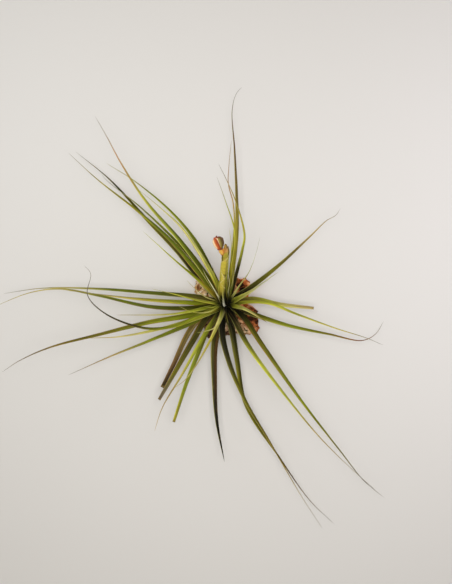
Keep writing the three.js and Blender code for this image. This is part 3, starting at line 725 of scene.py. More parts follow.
def bladeMaterial(finish):
    # The blade's own colour, lined lengthwise, made uneven, browned in patches where it is dry
    # and dusted with scales; veins and scales stand out a little
    material, tree = newMaterial(finish["name"])
    colour = addNode(tree, "Attribute", {"attribute_name": "bladeColour"})
    dryness = addNode(tree, "Attribute", {"attribute_name": "dryness"})
    place = addNode(tree, "UVMap", {"uv_map": "bladeMap"}).outputs["UV"]
    veinScale = (1 / (bladePattern["veinSpacing"] * mm), 1 / (bladePattern["veinLength"] * mm), 1)
    veinStretch = addNode(tree, "Mapping", {"Scale": veinScale}, {"Vector": place})
    veins = addNode(tree, "TexNoise", {"Scale": 1.0, "Detail": 2.0, "Roughness": 0.6},
                    {"Vector": veinStretch.outputs[0]})
    patchWide, patchLong = bladePattern["patch"]
    patchScale = (1 / (patchWide * mm), 1 / (patchLong * mm), 1)
    patchStretch = addNode(tree, "Mapping", {"Scale": patchScale}, {"Vector": place})
    patches = addNode(tree, "TexNoise", {"Scale": 1.0, "Detail": 4.0, "Roughness": 0.62},
                      {"Vector": patchStretch.outputs[0]})
    specks = addNode(tree, "TexNoise", {"Scale": 1 / (bladePattern["scale"] * mm), "Detail": 1.0},
                     {"Vector": place})
    # lengthwise lines: darker between the veins, lighter on them
    veinRange = {**noiseSpan, "To Min": 1 - finish["line"], "To Max": 1 + finish["line"]}
    veinLight = addNode(tree, "MapRange", veinRange, {"Value": veins.outputs[0]})
    lined = addNode(tree, "VectorMath", {"operation": "SCALE"},
                    {0: colour.outputs["Color"], "Scale": veinLight.outputs[0]})
    # broad lighter and darker stretches along the blade
    shift = addNode(tree, "MapRange", {**noiseSpan, "To Min": 0.8, "To Max": 1.2},
                    {"Value": patches.outputs[0]})
    uneven = addNode(tree, "VectorMath", {"operation": "SCALE"},
                     {0: lined.outputs[0], "Scale": shift.outputs[0]})
    # brown patches grow with dryness
    dryPatches = addNode(tree, "Math", {"operation": "MULTIPLY_ADD", 1: 0.42},
                         {0: dryness.outputs["Fac"], 2: patches.outputs[0]})
    patchEdge = addNode(tree, "MapRange", {"From Min": 0.66, "From Max": 0.8, "To Max": 0.6},
                        {"Value": dryPatches.outputs[0]})
    browned = addNode(tree, "Mix", {"data_type": "RGBA", 7: rgba(bladePattern["patchTone"])},
                      {0: patchEdge.outputs[0], 6: uneven.outputs[0]})
    # pale scales
    scaleRange = {"From Min": 0.5, "From Max": 0.75, "To Max": finish["scales"]}
    scaleMask = addNode(tree, "MapRange", scaleRange, {"Value": specks.outputs[0]})
    scurfed = addNode(tree, "Mix", {"data_type": "RGBA", 7: rgba(bladePattern["scaleTone"])},
                      {0: scaleMask.outputs[0], 6: browned.outputs[2]})
    relief = addNode(tree, "Math", {"operation": "MULTIPLY_ADD", 1: 0.35},
                     {0: specks.outputs[0], 2: veins.outputs[0]})
    bump = addNode(tree, "Bump", {"Strength": 0.7, "Distance": bladePattern["relief"] * mm},
                   {"Height": relief.outputs[0]})
    roughRange = {**noiseSpan, "To Min": finish["roughness"] - 0.08, "To Max": finish["roughness"] + 0.1}
    rough = addNode(tree, "MapRange", roughRange, {"Value": patches.outputs[0]})
    skin = {"IOR": 1.4, "Specular IOR Level": 0.12, "Sheen Weight": 0.01, "Sheen Roughness": 0.45}
    shader = addNode(tree, "BsdfPrincipled", skin, {
        "Base Color": scurfed.outputs[2], "Roughness": rough.outputs[0], "Normal": bump.outputs[0]})
    addNode(tree, "OutputMaterial", {}, {"Surface": shader.outputs[0]})
    return material


bladeMaterials = {slot: bladeMaterial(finish) for slot, finish in bladeFinish.items()}
for index, (name, leaf) in enumerate(leaves.items()):
    blade = makeLeaf("leaf_" + name, leaf, index, bladeMaterials[leaf["slot"]])
    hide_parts("leaf_" + name)
for index, (name, leaf) in enumerate(heartLeaves.items(), len(leaves)):
    makeLeaf("heart_leaf_" + name, leaf, index, bladeMaterials[leaf["slot"]])
print("leaves made:", len(leaves) + len(heartLeaves))


# Cork bark: a rough slab with furrows and pits, its cut underside flat on the floor
barkForm = {
    "corners": [(-42, 28.8), (-24, 34), (-8, 32), (13, 37), (27.5, 35.5), (32.5, 31), (34.5, 24),
                (33.5, 15), (31, 9), (31.5, 1), (39.5, -4), (45, -12), (44.8, -28), (45.2, -38.5),
                (30, -42), (10, -42.5), (-8, -44.5), (-27, -46), (-32, -28), (-39, -8), (-41.4, 10)],
    "middle": (2, -4),
    "height": 27, "drop": 3.5,          # at the middle, and how much lower the rim is
    # the edge, row by row from the underside's middle: share of the outline, height, roughness of
    # the outline and share of the relief
    "edge": [(0, 0, 0, 0), (0.9, 0, 0, 0), (0.96, 1.4, 1, 0), (0.985, 8, 2.2, 0.5),
             (0.97, 14, 1.6, 0.6), (1, 19, 2, 0.5)],
    "around": 440,
    "rings": (8, 64, 84),               # rings under, up the edge and over the top
    "waveAround": 72,                   # steps round the outline that its ripples are counted in
    "flatTo": (1.3, 2.4),               # rows of the edge over which the crust begins
    "crustFull": (4.5, 8),              # and over which it reaches its full height
    "edgeShare": 0.35,                  # how much of the crust is left at the edge
    "socket": (6.6, 9),                 # radius and depth of the hole for the stem
    "warp": (9, 2.4),                   # size and reach of the wander that bends the lumps
    "lumps": ((12, 2.6), (5.6, 1.7), (2.7, 0.9), (1.4, 0.4)),       # sizes and heights
    "sunk": 1.9,                        # how far the furrows lie below the plain form
    "seed": 91,
    "pits": 300, "pitRadius": (0.5, 2.1), "pitDepth": (0.6, 2.2),
    "smoothSide": (-16, 4), "smoothShare": 0.2,     # pits are shallower on the left
    "faceAbove": 18,                    # the large holes are in the face above this height
    # the large holes that show between the leaves: place in plan, radius and depth
    "holes": [(18, 25, 3.2, 2.6), (21.5, 19, 2.2, 2), (28.5, 24, 2, 1.8), (35, -2.5, 2.4, 2.5),
              (39, -6, 2.6, 2.8), (42.5, -10, 2.2, 2.6), (43, -29, 2.2, 2.6), (43.5, -23, 1.8, 2),
              (27, -16, 3, 2.5), (26, -36, 3, 1.5), (2, -37, 2.5, 2), (-26, 15, 2.2, 2),
              (-34.5, 21.5, 1.2, 1)],
    # crest, body and hollow of the bark by region, and how far across it each region begins
    "left": "fff6dc f8dca6 c89058",
    "right": "f4b67e c46c34 280f06", "toRight": (-4, 20),
    "front": "ecd2a8 a88660 20150e", "toFront": (14, 34), "frontEnds": (26, 36),
    "corner": "8d7b62 4c4032 120d09", "toCorner": (24, 48),
    "stains": "d0924a a8562a",          # on the left and on the right
}


def barkRelief(x, y):
    # Waves of several lengths, less furrows along the zero lines of a slanted wave
    swell = 1.6 * np.sin(x * 0.19 + 0.6) * np.cos(y * 0.15 - 0.4)
    lumps = 1.3 * np.sin(x * 0.43 + y * 0.31 + 1.1) + 0.9 * np.cos(x * 0.27 - y * 0.63 + 2)
    furrow = np.abs(np.sin(x * 0.13 + y * 0.05 + 0.8 * np.sin(y * 0.21)))
    return swell + lumps - 3 * (1 - furrow) ** 4


def barkRings():
    # The outline carried under, up the edge and over the top: each ring is the outline times its
    # share and its ripples, at its height plus the relief. Rows tell where a ring is: the edge's
    # own rows, then twelve more over the top to its middle.
    under, edge, top = barkForm["rings"]
    rim = len(barkForm["edge"]) - 1
    inwards = np.linspace(0.955, 0, 12)
    over = np.column_stack([
        inwards, barkForm["height"] - barkForm["drop"] * inwards ** 3,
        np.minimum(0.6, inwards), np.minimum(1, 1.6 * inwards)])
    table = np.vstack([barkForm["edge"], over])
    rows = np.concatenate([
        np.linspace(0.02, 1, under, endpoint=False), np.linspace(1, rim, edge, endpoint=False),
        np.linspace(rim, len(table) - 1.03, top)])
    share, height, wave, relief = (np.interp(rows, np.arange(len(table)), column) for column in table.T)
    onTop = smoothstep(rows, rim, rim + 1)[:, None]
    plan = smoothCurve(barkForm["corners"], barkForm["around"] + 1, closed=True)[:-1]
    step = np.arange(barkForm["around"]) * barkForm["waveAround"] / barkForm["around"]
    ripple = 0.011 * np.sin(step * 2.4) + 0.012 * np.sin(step * 1.1 + 1)
    size = share[:, None] * (1 + wave[:, None] * ripple)
    middle = np.array(barkForm["middle"], float)
    x, y = np.moveaxis(middle + (plan - middle) * size[..., None], -1, 0)
    lift = barkRelief(y, x) * (1 - onTop) + barkRelief(x, y) * onTop
    z = height[:, None] + relief[:, None] * lift
    return np.stack([x, y, z], -1), rows, onTop


def outwardOf(rings):
    # Direction square to the surface: the cross product of the steps around and along, turned
    # away from the middle
    around = np.roll(rings, -1, 1) - np.roll(rings, 1, 1)
    along = np.gradient(rings, axis=0)
    normal = np.cross(around, along)
    normal /= np.maximum(np.linalg.norm(normal, axis=-1, keepdims=True), 1e-9)
    return normal * np.sign((normal * (rings - rings.mean((0, 1)))).sum())


def noiseAt(points, size, seeds):
    # Three smooth noises, one for each direction
    return np.stack([latticeNoise(points, size, seed) for seed in seeds], -1)


def barkCrust(points):
    # Lumps of several sizes with sharp furrows between them: the size of a smooth noise, read at
    # wandering places, less its own mean
    size, reach = barkForm["warp"]
    grain = (points + reach * noiseAt(points, size, (21, 22, 23))) * [0.7, 1, 1]    # longer along X
    crust = sum(height * np.abs(latticeNoise(grain, size, 7 + k)) ** 0.7
                for k, (size, height) in enumerate(barkForm["lumps"]))
    return crust - crust.mean()


def barkPits(points):
    # Holes of many sizes, each a bowl with a ragged rim; where they overlap, the deeper one
    form = barkForm
    draw = np.random.default_rng(form["seed"])
    flat = points.reshape(-1, 3)
    centres = flat[draw.choice(len(flat), form["pits"], replace=False)]
    radii = draw.uniform(*form["pitRadius"], form["pits"])
    depths = draw.uniform(*form["pitDepth"], form["pits"])
    depths = depths * between((form["smoothShare"], 1), smoothstep(centres[:, 0], *form["smoothSide"]))
    holes = np.array(form["holes"])
    fromHole = np.hypot(flat[None, :, 0] - holes[:, None, 0], flat[None, :, 1] - holes[:, None, 1])
    notFace = 1000 * (flat[None, :, 2] < form["faceAbove"])
    centres = np.vstack([centres, flat[(fromHole + notFace).argmin(1)]])
    radii = np.concatenate([radii, holes[:, 2]])
    depths = np.concatenate([depths, holes[:, 3]])
    ragged = flat + 0.5 * noiseAt(flat, 1.6, (51, 52, 53))
    pit = np.zeros(len(flat))
    for centre, radius, depth in zip(centres, radii, depths):
        away = np.linalg.norm((ragged - centre) * [0.8, 1.1, 1.1], axis=1) / radius
        pit = np.maximum(pit, depth * smoothstep(1.25 - away, 0, 0.7))
    return pit.reshape(points.shape[:-1])


def barkColours(rings, crust):
    # Crest, body and hollow tones by the height of the crust, blended between the regions, whose
    # borders wander with a noise. The pale crests are partly painted highlight and the near-black
    # hollows partly painted shade.
    form = barkForm
    raised = crust / crust.std()
    x, y = rings[..., 0], rings[..., 1]

    def region(name):
        # from hollow to body to crest as the crust rises
        crest, body, hollow = (linearFrom(h) for h in form[name].split())
        tone = hollow + (body - hollow) * smoothstep(raised, -1.5, -0.2)[..., None]
        return tone + (crest - tone) * smoothstep(raised, 0.1, 1.4)[..., None]

    toRight = smoothstep(x + 5 * latticeNoise(rings, 11, 61), *form["toRight"])[..., None]
    toFront = smoothstep(-y + 5 * latticeNoise(rings, 10, 62), *form["toFront"])[..., None]
    toCorner = smoothstep(-x - y + 5 * latticeNoise(rings, 9, 63), *form["toCorner"])[..., None]
    toFront = toFront * (1 - 0.85 * smoothstep(x, *form["frontEnds"]))[..., None]
    tint = region("left") * (1 - toRight) + region("right") * toRight
    tint = tint + (region("front") - tint) * toFront
    tint = tint + (region("corner") - tint) * toCorner * 0.85
    stain = smoothstep(latticeNoise(rings, 4.5, 64), 0.1, 0.6)[..., None]
    stainTone = between([linearFrom(h) for h in form["stains"].split()], toRight)
    return tint + (stainTone - tint) * stain * 0.35 * (1 - toCorner)


def makeBark(material):
    # The plain form, pushed out by the crust and in by the pits, held to the floor and bored
    # for the stem
    form = barkForm
    rings, rows, onTop = barkRings()
    free = smoothstep(rows, *form["flatTo"])[:, None]       # the cut underside stays flat
    crust = barkCrust(rings)
    pit = barkPits(rings)
    share = between((form["edgeShare"], 1), smoothstep(rows, *form["crustFull"]))[:, None]
    shift = (crust * share - form["sunk"] - pit) * free
    tint = barkColours(rings, crust)
    # how far each place is painted dark: the pits, and a little the low crust, as painted shade on top
    # of their own dark
    hollow = np.clip(pit / 1.5 - 0.12 * crust, 0, 1)
    rings = rings + outwardOf(rings) * shift[..., None]
    rings[..., 2] = np.maximum(rings[..., 2], 0)
    fromAxis = np.hypot(rings[..., 0], rings[..., 1])
    bore, depth = form["socket"]
    rimStart, rimEnd = bore - 0.4, bore + 1
    rings[..., 2] -= depth * (1 - smoothstep(fromAxis, rimStart, rimEnd)) * onTop
    piece = wrappedSkin("cork_bark_slab", rings, material, colours={"barkTint": tint},
                        values={"hollow": hollow})
    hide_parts("cork_bark")


barkPattern = {
    "cell": 1.5, "net": 2.8, "blotch": 5, "grit": 0.7,      # sizes of pores, cracks, patches, grain
    "netWander": 4,
    "crackTone": "8a4a22", "poreTone": "4a2a17", "pitShadeTone": "1c0f09",
    "relief": 0.7,
}


def barkMaterial():
    # Raw cork oak bark: dead dry cells, fully matt, pale on the ridges, partly as painted highlight,
    # and dark in the pits, partly as painted shade
    material, tree = newMaterial("rawCorkBark")
    tint = addNode(tree, "Attribute", {"attribute_name": "barkTint"})
    hollow = addNode(tree, "Attribute", {"attribute_name": "hollow"})
    place = addNode(tree, "TexCoord").outputs["Object"]
    perMetre = {key: 1 / (barkPattern[key] * mm) for key in ("cell", "net", "blotch", "grit")}
    cells = addNode(tree, "TexVoronoi", {"Scale": perMetre["cell"], "feature": "F1"}, {"Vector": place})
    blotch = addNode(tree, "TexNoise", {"Scale": perMetre["blotch"], "Detail": 6.0, "Roughness": 0.7},
                     {"Vector": place})
    grit = addNode(tree, "TexNoise", {"Scale": perMetre["grit"], "Detail": 3.0}, {"Vector": place})
    # patches and grain lighten and darken the tint
    light = addNode(tree, "MapRange", {**noiseSpan, "To Min": 0.62, "To Max": 1.34},
                    {"Value": blotch.outputs[0]})
    shaded = addNode(tree, "VectorMath", {"operation": "SCALE"},
                     {0: tint.outputs["Color"], "Scale": light.outputs[0]})
    grain = addNode(tree, "MapRange", {**noiseSpan, "To Min": 0.78, "To Max": 1.18},
                    {"Value": grit.outputs[0]})
    gritty = addNode(tree, "VectorMath", {"operation": "SCALE"},
                     {0: shaded.outputs[0], "Scale": grain.outputs[0]})
    # a wavy net of red-brown cracks
    wander = (barkPattern["netWander"] * mm,) * 3
    wavy = addNode(tree, "VectorMath", {"operation": "MULTIPLY_ADD", 1: wander},
                   {0: blotch.outputs["Color"], 2: place})
    net = addNode(tree, "TexVoronoi", {"Scale": perMetre["net"], "feature": "DISTANCE_TO_EDGE"},
                  {"Vector": wavy.outputs[0]})
    crack = addNode(tree, "MapRange", {"From Min": 0.02, "From Max": 0.1, "To Min": 0.45, "To Max": 0.0},
                    {"Value": net.outputs["Distance"]})
    cracked = addNode(tree, "Mix", {"data_type": "RGBA", 7: rgba(barkPattern["crackTone"])},
                      {0: crack.outputs[0], 6: gritty.outputs[0]})
    # dark pores at the middles of the cells, then the pits darkened to near black, their own dark and
    # painted shade
    pores = addNode(tree, "MapRange", {"From Min": 0.1, "From Max": 0.3, "To Min": 0.5, "To Max": 0.0},
                    {"Value": cells.outputs["Distance"]})
    pored = addNode(tree, "Mix", {"data_type": "RGBA", 7: rgba(barkPattern["poreTone"])},
                    {0: pores.outputs[0], 6: cracked.outputs[2]})
    deep = addNode(tree, "MapRange", {"From Min": 0.12, "From Max": 0.6, "To Max": 0.94},
                   {"Value": hollow.outputs["Fac"]})
    darkened = addNode(tree, "Mix", {"data_type": "RGBA", 7: rgba(barkPattern["pitShadeTone"])},
                       {0: deep.outputs[0], 6: pored.outputs[2]})
    height = addNode(tree, "Math", {"operation": "MULTIPLY_ADD", 1: 0.6},
                     {0: grit.outputs[0], 2: blotch.outputs[0]})
    bump = addNode(tree, "Bump", {"Strength": 0.8, "Distance": barkPattern["relief"] * mm},
                   {"Height": height.outputs[0]})
    shader = addNode(tree, "BsdfPrincipled", {"IOR": 1.4, "Roughness": 0.92, "Specular IOR Level": 0.25},
                     {"Base Color": darkened.outputs[2], "Normal": bump.outputs[0]})
    addNode(tree, "OutputMaterial", {}, {"Surface": shader.outputs[0]})
    return material


makeBark(barkMaterial())
print("bark made")


def plantMaterial(name, roughness, shine, speck, speckSize, darkHex):
    # Plant tissue coloured by the piece's own attribute, with specks and a slightly waxy skin.
    # speck is how much of the dark tone a speck takes, and speckSize is in mm.
    material, tree = newMaterial(name)
    colour = addNode(tree, "Attribute", {"attribute_name": "tissueColour"})
    place = addNode(tree, "TexCoord").outputs["Object"]
    mottleScale = 1 / (speckSize * mm)
    mottle = addNode(tree, "TexNoise", {"Scale": mottleScale, "Detail": 4.0, "Roughness": 0.65},
                     {"Vector": place})
    light = addNode(tree, "MapRange", {**noiseSpan, "To Min": 0.8, "To Max": 1.18},
                    {"Value": mottle.outputs[0]})
    shaded = addNode(tree, "VectorMath", {"operation": "SCALE"},
                     {0: colour.outputs["Color"], "Scale": light.outputs[0]})
    fine = addNode(tree, "TexNoise", {"Scale": 3 * mottleScale, "Detail": 2.0}, {"Vector": place})
    mask = addNode(tree, "MapRange", {"From Min": 0.58, "From Max": 0.72, "To Max": speck},
                   {"Value": fine.outputs[0]})
    specked = addNode(tree, "Mix", {"data_type": "RGBA", 7: rgba(darkHex)},
                      {0: mask.outputs[0], 6: shaded.outputs[0]})
    bump = addNode(tree, "Bump", {"Strength": 0.6, "Distance": 0.2 * mm}, {"Height": fine.outputs[0]})
    skin = {"IOR": 1.43, "Roughness": roughness, "Specular IOR Level": shine}
    shader = addNode(tree, "BsdfPrincipled", skin,
                     {"Base Color": specked.outputs[2], "Normal": bump.outputs[0]})
    addNode(tree, "OutputMaterial", {}, {"Surface": shader.outputs[0]})
    return material


def makeStem(material):
    # A turned column, roughened by the ragged rims of old leaf bases that step round it: the
    # taper, less the scars' depth, plus a lip that rises with the square of the way up a scar.
    # The top rounds off as an ellipse.
    form = stemForm
    foot, top = form["foot"], form["top"]
    heights = np.concatenate([
        [foot, foot + 0.05], np.linspace(foot + 0.3, top - 0.6, form["rings"]), [top - 0.2, top]])
    turn = np.linspace(0, 2 * np.pi, form["around"], endpoint=False)
    z, a = np.meshgrid(heights, turn, indexing="ij")
    upTurn = a / (2 * np.pi) * form["scarStarts"]
    scar = (z / form["scarHeight"] + upTurn + 0.25 * np.sin(3 * a)) % 1
    radius = stemRadiusAt(z) - form["scarDepth"] + form["scarLip"] * scar ** 2
    grainPlaces = np.stack([radius * np.cos(a), radius * np.sin(a), z], -1) * [2.5, 2.5, 0.5]
    radius = radius + form["grain"] * latticeNoise(grainPlaces, form["grainSize"], 81)
    radius = np.minimum(radius, stemRadiusAt(z) + 0.2)
    over = np.maximum(z - form["domeFrom"], 0) / (top + 0.2 - form["domeFrom"])
    dome = np.sqrt(np.clip(1 - over ** 2, 0.02, 1))
    radius = radius * np.where(z < foot + 0.02, form["footClosed"], dome)
    rings = np.stack([radius * np.cos(a), radius * np.sin(a), z], -1)
    brown, straw, green = (linearFrom(h) for h in form["tones"].split())
    tone = brown + (straw - brown) * (scar ** 3)[..., None]
    tone = tone + (green - tone) * smoothstep(z, *form["green"])[..., None] * 0.6
    # painted shade: the top of the column turns near black among the leaf bases
    tone = tone * (1 - 0.96 * smoothstep(z, *form["dark"])[..., None])
    piece = wrappedSkin("stem_column", rings, material, colours={"tissueColour": tone})
    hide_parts("stem")


makeStem(plantMaterial("fibrousStem", 0.9, 0.06, 0.5, 2.5, "3a2a1a"))
print("stem made")

# Flower stalk and head: a slim stem in overlapping bracts, a cup, and a spike of folded bracts.
# Courses are seen from above, with heights; wide and deep are half-sizes in mm.
stalkForm = {
    "course": [(-2.3, 2.8, 60), (-4.5, 8.5, 77), (-5.6, 16, 89), (-4.6, 30, 105), (-2.4, 50, 122),
               (-0.6, 64, 133), (0.2, 76, 140)],
    "core": 3.1, "tip": 1.9,
    "points": 240, "around": 32,
    "tipFrom": 0.92,                        # share of its length where the core narrows
    "ragged": (0.5, 2.2),                   # height and size of the roughness near its end
    "tones": "aa9c34 b98348 5a4420",        # of the core, near its end, and at it
    "shaded": (12, 25), "shadeLeft": 0.05,  # plan distances over which it comes out of the dark
    "bracts": 7, "bractLength": 0.27,       # length as a share of the stalk's
    "lastBract": 0.7056,                    # share of the stalk where the last one begins
    "bractPoints": (44, 19),                # along and across; headPoints along those of the head
    "headPoints": 40,
    "radius": (3.5, 4.2), "growth": 0.04,   # at a bract's foot and round its middle; more for each
    "firstKeel": 0.7,                       # bearing of the first one's keel, in radians
    "turn": 2.4,                            # from one bract's keel to the next
    "wrap": 2.9,                            # how far a bract's foot reaches round
    "rim": 0.84,
    "thickness": 0.32,
    "lowerBracts": 2, "lowerTones": "8f8c24 4d4a10 b9b45c a89a44",      # body, painted shade of the flank and foot, margins, tip
    "upperTones": "ccba44 7e7420 e2d484 b09242",
}


def headFrame(course, count):
    # A smooth course seen from above, moved to where it is, with the directions along it
    line = smoothCurve(course, count)
    line = fromView(line[:, :2], line[:, 2])
    return line, carriedFrame(line)


def makeTube(name, line, frame, radius, tone, material):
    # At each place a ring round the line: that place's radius times the cosine to the side, and
    # times the sine upward
    side, up = frame[1:]
    turn = np.linspace(0, 2 * np.pi, stalkForm["around"], endpoint=False)
    ring = np.cos(turn)[None, :, None] * side[:, None] + np.sin(turn)[None, :, None] * up[:, None]
    rings = line[:, None] + ring * radius[:, None, None]
    return wrappedSkin(name, rings, material, colours={"tissueColour": tone + 0 * rings})


def outOfShade(line):
    # Brightness by plan distance: dark among the leaves, full further out
    lit = smoothstep(np.hypot(line[:, 0], line[:, 1]), *stalkForm["shaded"])
    return between((stalkForm["shadeLeft"], 1), lit)[:, None, None]


def makeBract(name, line, frame, keel, wide, deep, wrap, rim, tones, material):
    # A thin shell: at each place an arc of an ellipse round the line, its middle at the keel's
    # bearing, then the same arc a little smaller on the way back. The margins, beyond the share
    # rim of the half-width, are pale, and the tip is dry. The foot, the side that looks away from
    # the light and the inner face are painted darker as shade, and all of it darkens with the
    # painted shade among the leaves.
    side, up = frame[1:]
    v = np.linspace(0, 1, len(line))[:, None]
    t = np.linspace(-1, 1, stalkForm["bractPoints"][1])[None]
    out = np.cos(keel) * up + np.sin(keel) * side
    across = np.cos(keel) * side - np.sin(keel) * up
    angle = wrap[:, None] * t
    arc = (across[:, None] * (np.sin(angle) * wide[:, None])[..., None]
           + out[:, None] * (np.cos(angle) * deep[:, None])[..., None])
    thin = stalkForm["thickness"] * (1 - 0.6 * t ** 4) / np.maximum(wide, 0.6)[:, None]
    inner = line[:, None] + arc * (1 - np.minimum(thin, 0.7))[..., None]
    rings = np.concatenate([line[:, None] + arc, inner[:, ::-1]], 1)
    body, shadeTone, margin, tip = (linearFrom(h) for h in tones.split())
    facing = arc / np.maximum(np.linalg.norm(arc, axis=2, keepdims=True), 1e-6)
    # painted shade on the side that looks away from the light
    away = smoothstep(facing[..., :2] @ np.array(leafForm["paintedShadeSide"]), -0.45, 0.75)
    tone = body + (shadeTone - body) * away[..., None]
    edge = smoothstep(np.abs(t), rim - 0.1, rim + 0.12) * smoothstep(v, 0.1, 0.3)
    tone = tone + (margin - tone) * (0.9 * edge)[..., None]
    # painted shade at the foot, where it tucks into the bract below
    tone = tone + (shadeTone - tone) * (1 - smoothstep(v, 0.02, 0.16))[..., None]
    tone = tone + (tip - tone) * smoothstep(v, 0.78, 0.98)[..., None] * 0.8
    # painted shade on the inner face, then the painted shade among the leaves
    tone = np.concatenate([tone, 0.6 * tone[:, ::-1]], 1) * outOfShade(line)
    return wrappedSkin(name, rings, material, colours={"tissueColour": tone})


def makeStalk(material):
    # The core, a tube that narrows and roughens at its end, and the bracts that wrap it, one
    # above the other, each turned on from the last
    form = stalkForm
    line, frame = headFrame(form["course"], form["points"])
    share = np.linspace(0, 1, len(line))
    height, size = form["ragged"]
    radius = between((form["core"], form["tip"]), smoothstep(share, form["tipFrom"], 1))
    radius = radius + height * latticeNoise(line * 3, size, 77) * smoothstep(share, 0.85, 1)
    fresh, dry, end = (linearFrom(h) for h in form["tones"].split())
    tone = fresh + (dry - fresh) * smoothstep(share, 0.9, 0.95)[:, None, None]
    tone = tone + (end - tone) * smoothstep(share, 0.97, 0.99)[:, None, None]
    pieces = [makeTube("flower_stalk_core", line, frame, radius, tone * outOfShade(line), material)]
    v = np.linspace(0, 1, form["bractPoints"][0])
    for index in range(form["bracts"]):
        place = index * form["lastBract"] / (form["bracts"] - 1) + form["bractLength"] * v
        own = [np.column_stack([np.interp(place, share, axis) for axis in table.T])
               for table in (line, *frame)]
        wide = between(form["radius"], smoothstep(v, 0, 0.45)) + form["growth"] * index
        wrap = form["wrap"] * (1 - smoothstep(v, 0.3, 1.06) * 0.985)
        tones = form["lowerTones" if index < form["lowerBracts"] else "upperTones"]
        keel = form["firstKeel"] + index * form["turn"]
        pieces.append(makeBract("stalk_bract_%d" % (index + 1), own[0], own[1:], keel, wide, wide, wrap,
                                form["rim"], tones, material))
    for piece in pieces:
        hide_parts("flower_stalk")


makeStalk(plantMaterial("stalkBract", 0.5, 0.3, 0.12, 3.0, "8a8a30"))
print("flower stalk made")

# Each bract: its node, the share of its half-width where the margin begins, its keel's bearing in
# radians from the side that looks up, half-width, half-depth, wrap in radians, its tones for body,
# shaded flank, margins and tip, and its course
headBracts = {
    "spike_bract_back": {
        "node": "flower_spike", "rim": 0.8, "keel": 0.3, "wide": 3, "deep": 2, "wrap": 1.5,
        "tones": "7a5a24 50300f 7a4a1c 6a2410",
        "course": [(-6.2, 73, 138.5), (-5.6, 80, 141.5), (-7.6, 88, 144.5)]},
    "spike_bract_olive": {
        "node": "flower_spike", "rim": 0.8, "keel": 0.5, "wide": 3.7, "deep": 2.6, "wrap": 1.4,
        "tones": "94843c 54400f 6a3412 5a2810",
        "course": [(-6.4, 71.8, 139.5), (-7.2, 79.5, 143), (-10, 88.4, 146.2)]},
    "spike_bract_inner": {
        "node": "flower_spike", "rim": 0.8, "keel": 0, "wide": 2.6, "deep": 1.8, "wrap": 1.4,
        "tones": "9a3c1c 6a2a10 a8502a 5a1e0c",
        "course": [(-9, 74, 141.5), (-11.2, 82, 145), (-12.8, 89.2, 147.4)]},
    "spike_bract_red": {
        "node": "flower_spike", "rim": 0.46, "keel": 0.2, "wide": 4.6, "deep": 2.5, "wrap": 1.15,
        "tones": "c0602c 8a3010 fde0b0 a03818",
        "course": [(-8.4, 71.6, 141.4), (-12.6, 79.4, 145.4), (-15.8, 87, 148.4)]},
    "cup_bract_lower": {
        "node": "flower_cup", "rim": 0.7, "keel": -0.3, "wide": 3.8, "deep": 3, "wrap": 1.4,
        "tones": "eebc58 b04a1c d8642c b05a26",
        "course": [(-4.6, 64.8, 133.6), (-5.1, 68.6, 136.2), (-6.6, 72.8, 138.8)]},
    "cup_bract_upper": {
        "node": "flower_cup", "rim": 0.7, "keel": 0.4, "wide": 2.6, "deep": 2.2, "wrap": 1.4,
        "tones": "b8863a 8a5a22 d8a868 6a4418",
        "course": [(-1.6, 66.5, 134.6), (-2, 70.5, 137.4), (-2.8, 74.8, 140)]},
    "stalk_end_scale": {
        "node": "flower_stalk", "rim": 0.7, "keel": 0.2, "wide": 2, "deep": 1.8, "wrap": 1.5,
        "tones": "a88a3c 7a5a26 cfa468 3a2a10",
        "course": [(-0.4, 71, 137.4), (-0.6, 75, 140), (-1.2, 79, 142.4)]},
}


def makeHead(material):
    # Each bract swells from its foot to its middle, then narrows to a blunt point and wraps less
    for name, bract in headBracts.items():
        line, frame = headFrame(bract["course"], stalkForm["headPoints"])
        v = np.linspace(0, 1, len(line))
        swell = 0.6 + 0.4 * smoothstep(v, 0, 0.45) - 0.75 * smoothstep(v, 0.84, 1.03)
        wrap = bract["wrap"] * (1 - 0.5 * smoothstep(v, 0.65, 1.02))
        piece = makeBract(name, line, frame, bract["keel"], bract["wide"] * swell, bract["deep"] * swell,
                          wrap, bract["rim"], bract["tones"], material)
        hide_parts(bract["node"])


makeHead(plantMaterial("flowerBract", 0.5, 0.3, 0.3, 2.0, "7a4a22"))
print("flower head made")

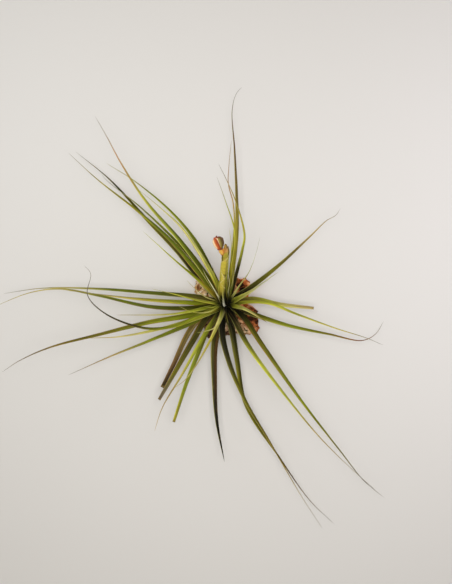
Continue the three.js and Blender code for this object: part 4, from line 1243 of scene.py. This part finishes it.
# Plain pale floor and soft studio light: an even sky, one wide lamp from the lower left and
# three small soft ones that brighten the floor near the plant. Places and lamp sizes in metres.
studio = {
    "floorSize": 8.0, "floorBelow": 0.0002,     # just under the bark's flat underside
    "floor": "dedcd8",
    "sky": "fffaf2", "skyStrength": 0.36,
    "lamps": {
        "key": {"place": (-8, -5, 13), "size": 11, "power": 92, "colour": "ffe8c4"},
        "right": {"place": (0.75, 0.17, 0.42), "size": 0.45, "power": 2.1, "colour": "f2f0ff"},
        "left": {"place": (-0.43, 0.3, 0.55), "size": 0.5, "power": 1.06, "colour": "f4f8ff"},
        "above": {"place": (0, 0.016, 1.05), "size": 0.3, "power": 5.24, "colour": "fffdfa"},
    },
}


def makeFloor():
    # One square of matt board, just under the bark
    material, tree = newMaterial("paleMattBoard")
    shader = addNode(tree, "BsdfPrincipled", {
        "Base Color": rgba(studio["floor"]), "Roughness": 0.9, "Specular IOR Level": 0.2})
    addNode(tree, "OutputMaterial", {}, {"Surface": shader.outputs[0]})
    half = studio["floorSize"] / 2
    square = ((-half, -half), (half, -half), (half, half), (-half, half))
    corners = [(x, y, -studio["floorBelow"]) for x, y in square]
    mesh = bpy.data.meshes.new("floor")
    mesh.from_pydata(corners, [], [(0, 1, 2, 3)])
    mesh.materials.append(material)
    floor = bpy.data.objects.new("floor", mesh)
    bpy.context.scene.collection.objects.link(floor)


def makeSky():
    # The same light from everywhere
    world = bpy.data.worlds.new("paleRoom")
    world.use_nodes = True
    background = world.node_tree.nodes["Background"]
    background.inputs["Color"].default_value = rgba(studio["sky"])
    background.inputs["Strength"].default_value = studio["skyStrength"]
    bpy.context.scene.world = world


def makeLamp(name, lamp):
    # A square lamp that looks to the origin and isn't seen itself
    data = bpy.data.lights.new(name + "Light", "AREA")
    data.size = lamp["size"]
    data.energy = lamp["power"]
    data.color = linearFrom(lamp["colour"])
    light = bpy.data.objects.new(name + "Light", data)
    light.location = lamp["place"]
    light.visible_camera = False
    light.rotation_euler = (-light.location).to_track_quat("-Z", "Y").to_euler()
    bpy.context.scene.collection.objects.link(light)


makeFloor()
makeSky()
for name, lamp in studio["lamps"].items():
    makeLamp(name, lamp)
print("floor and lights made")
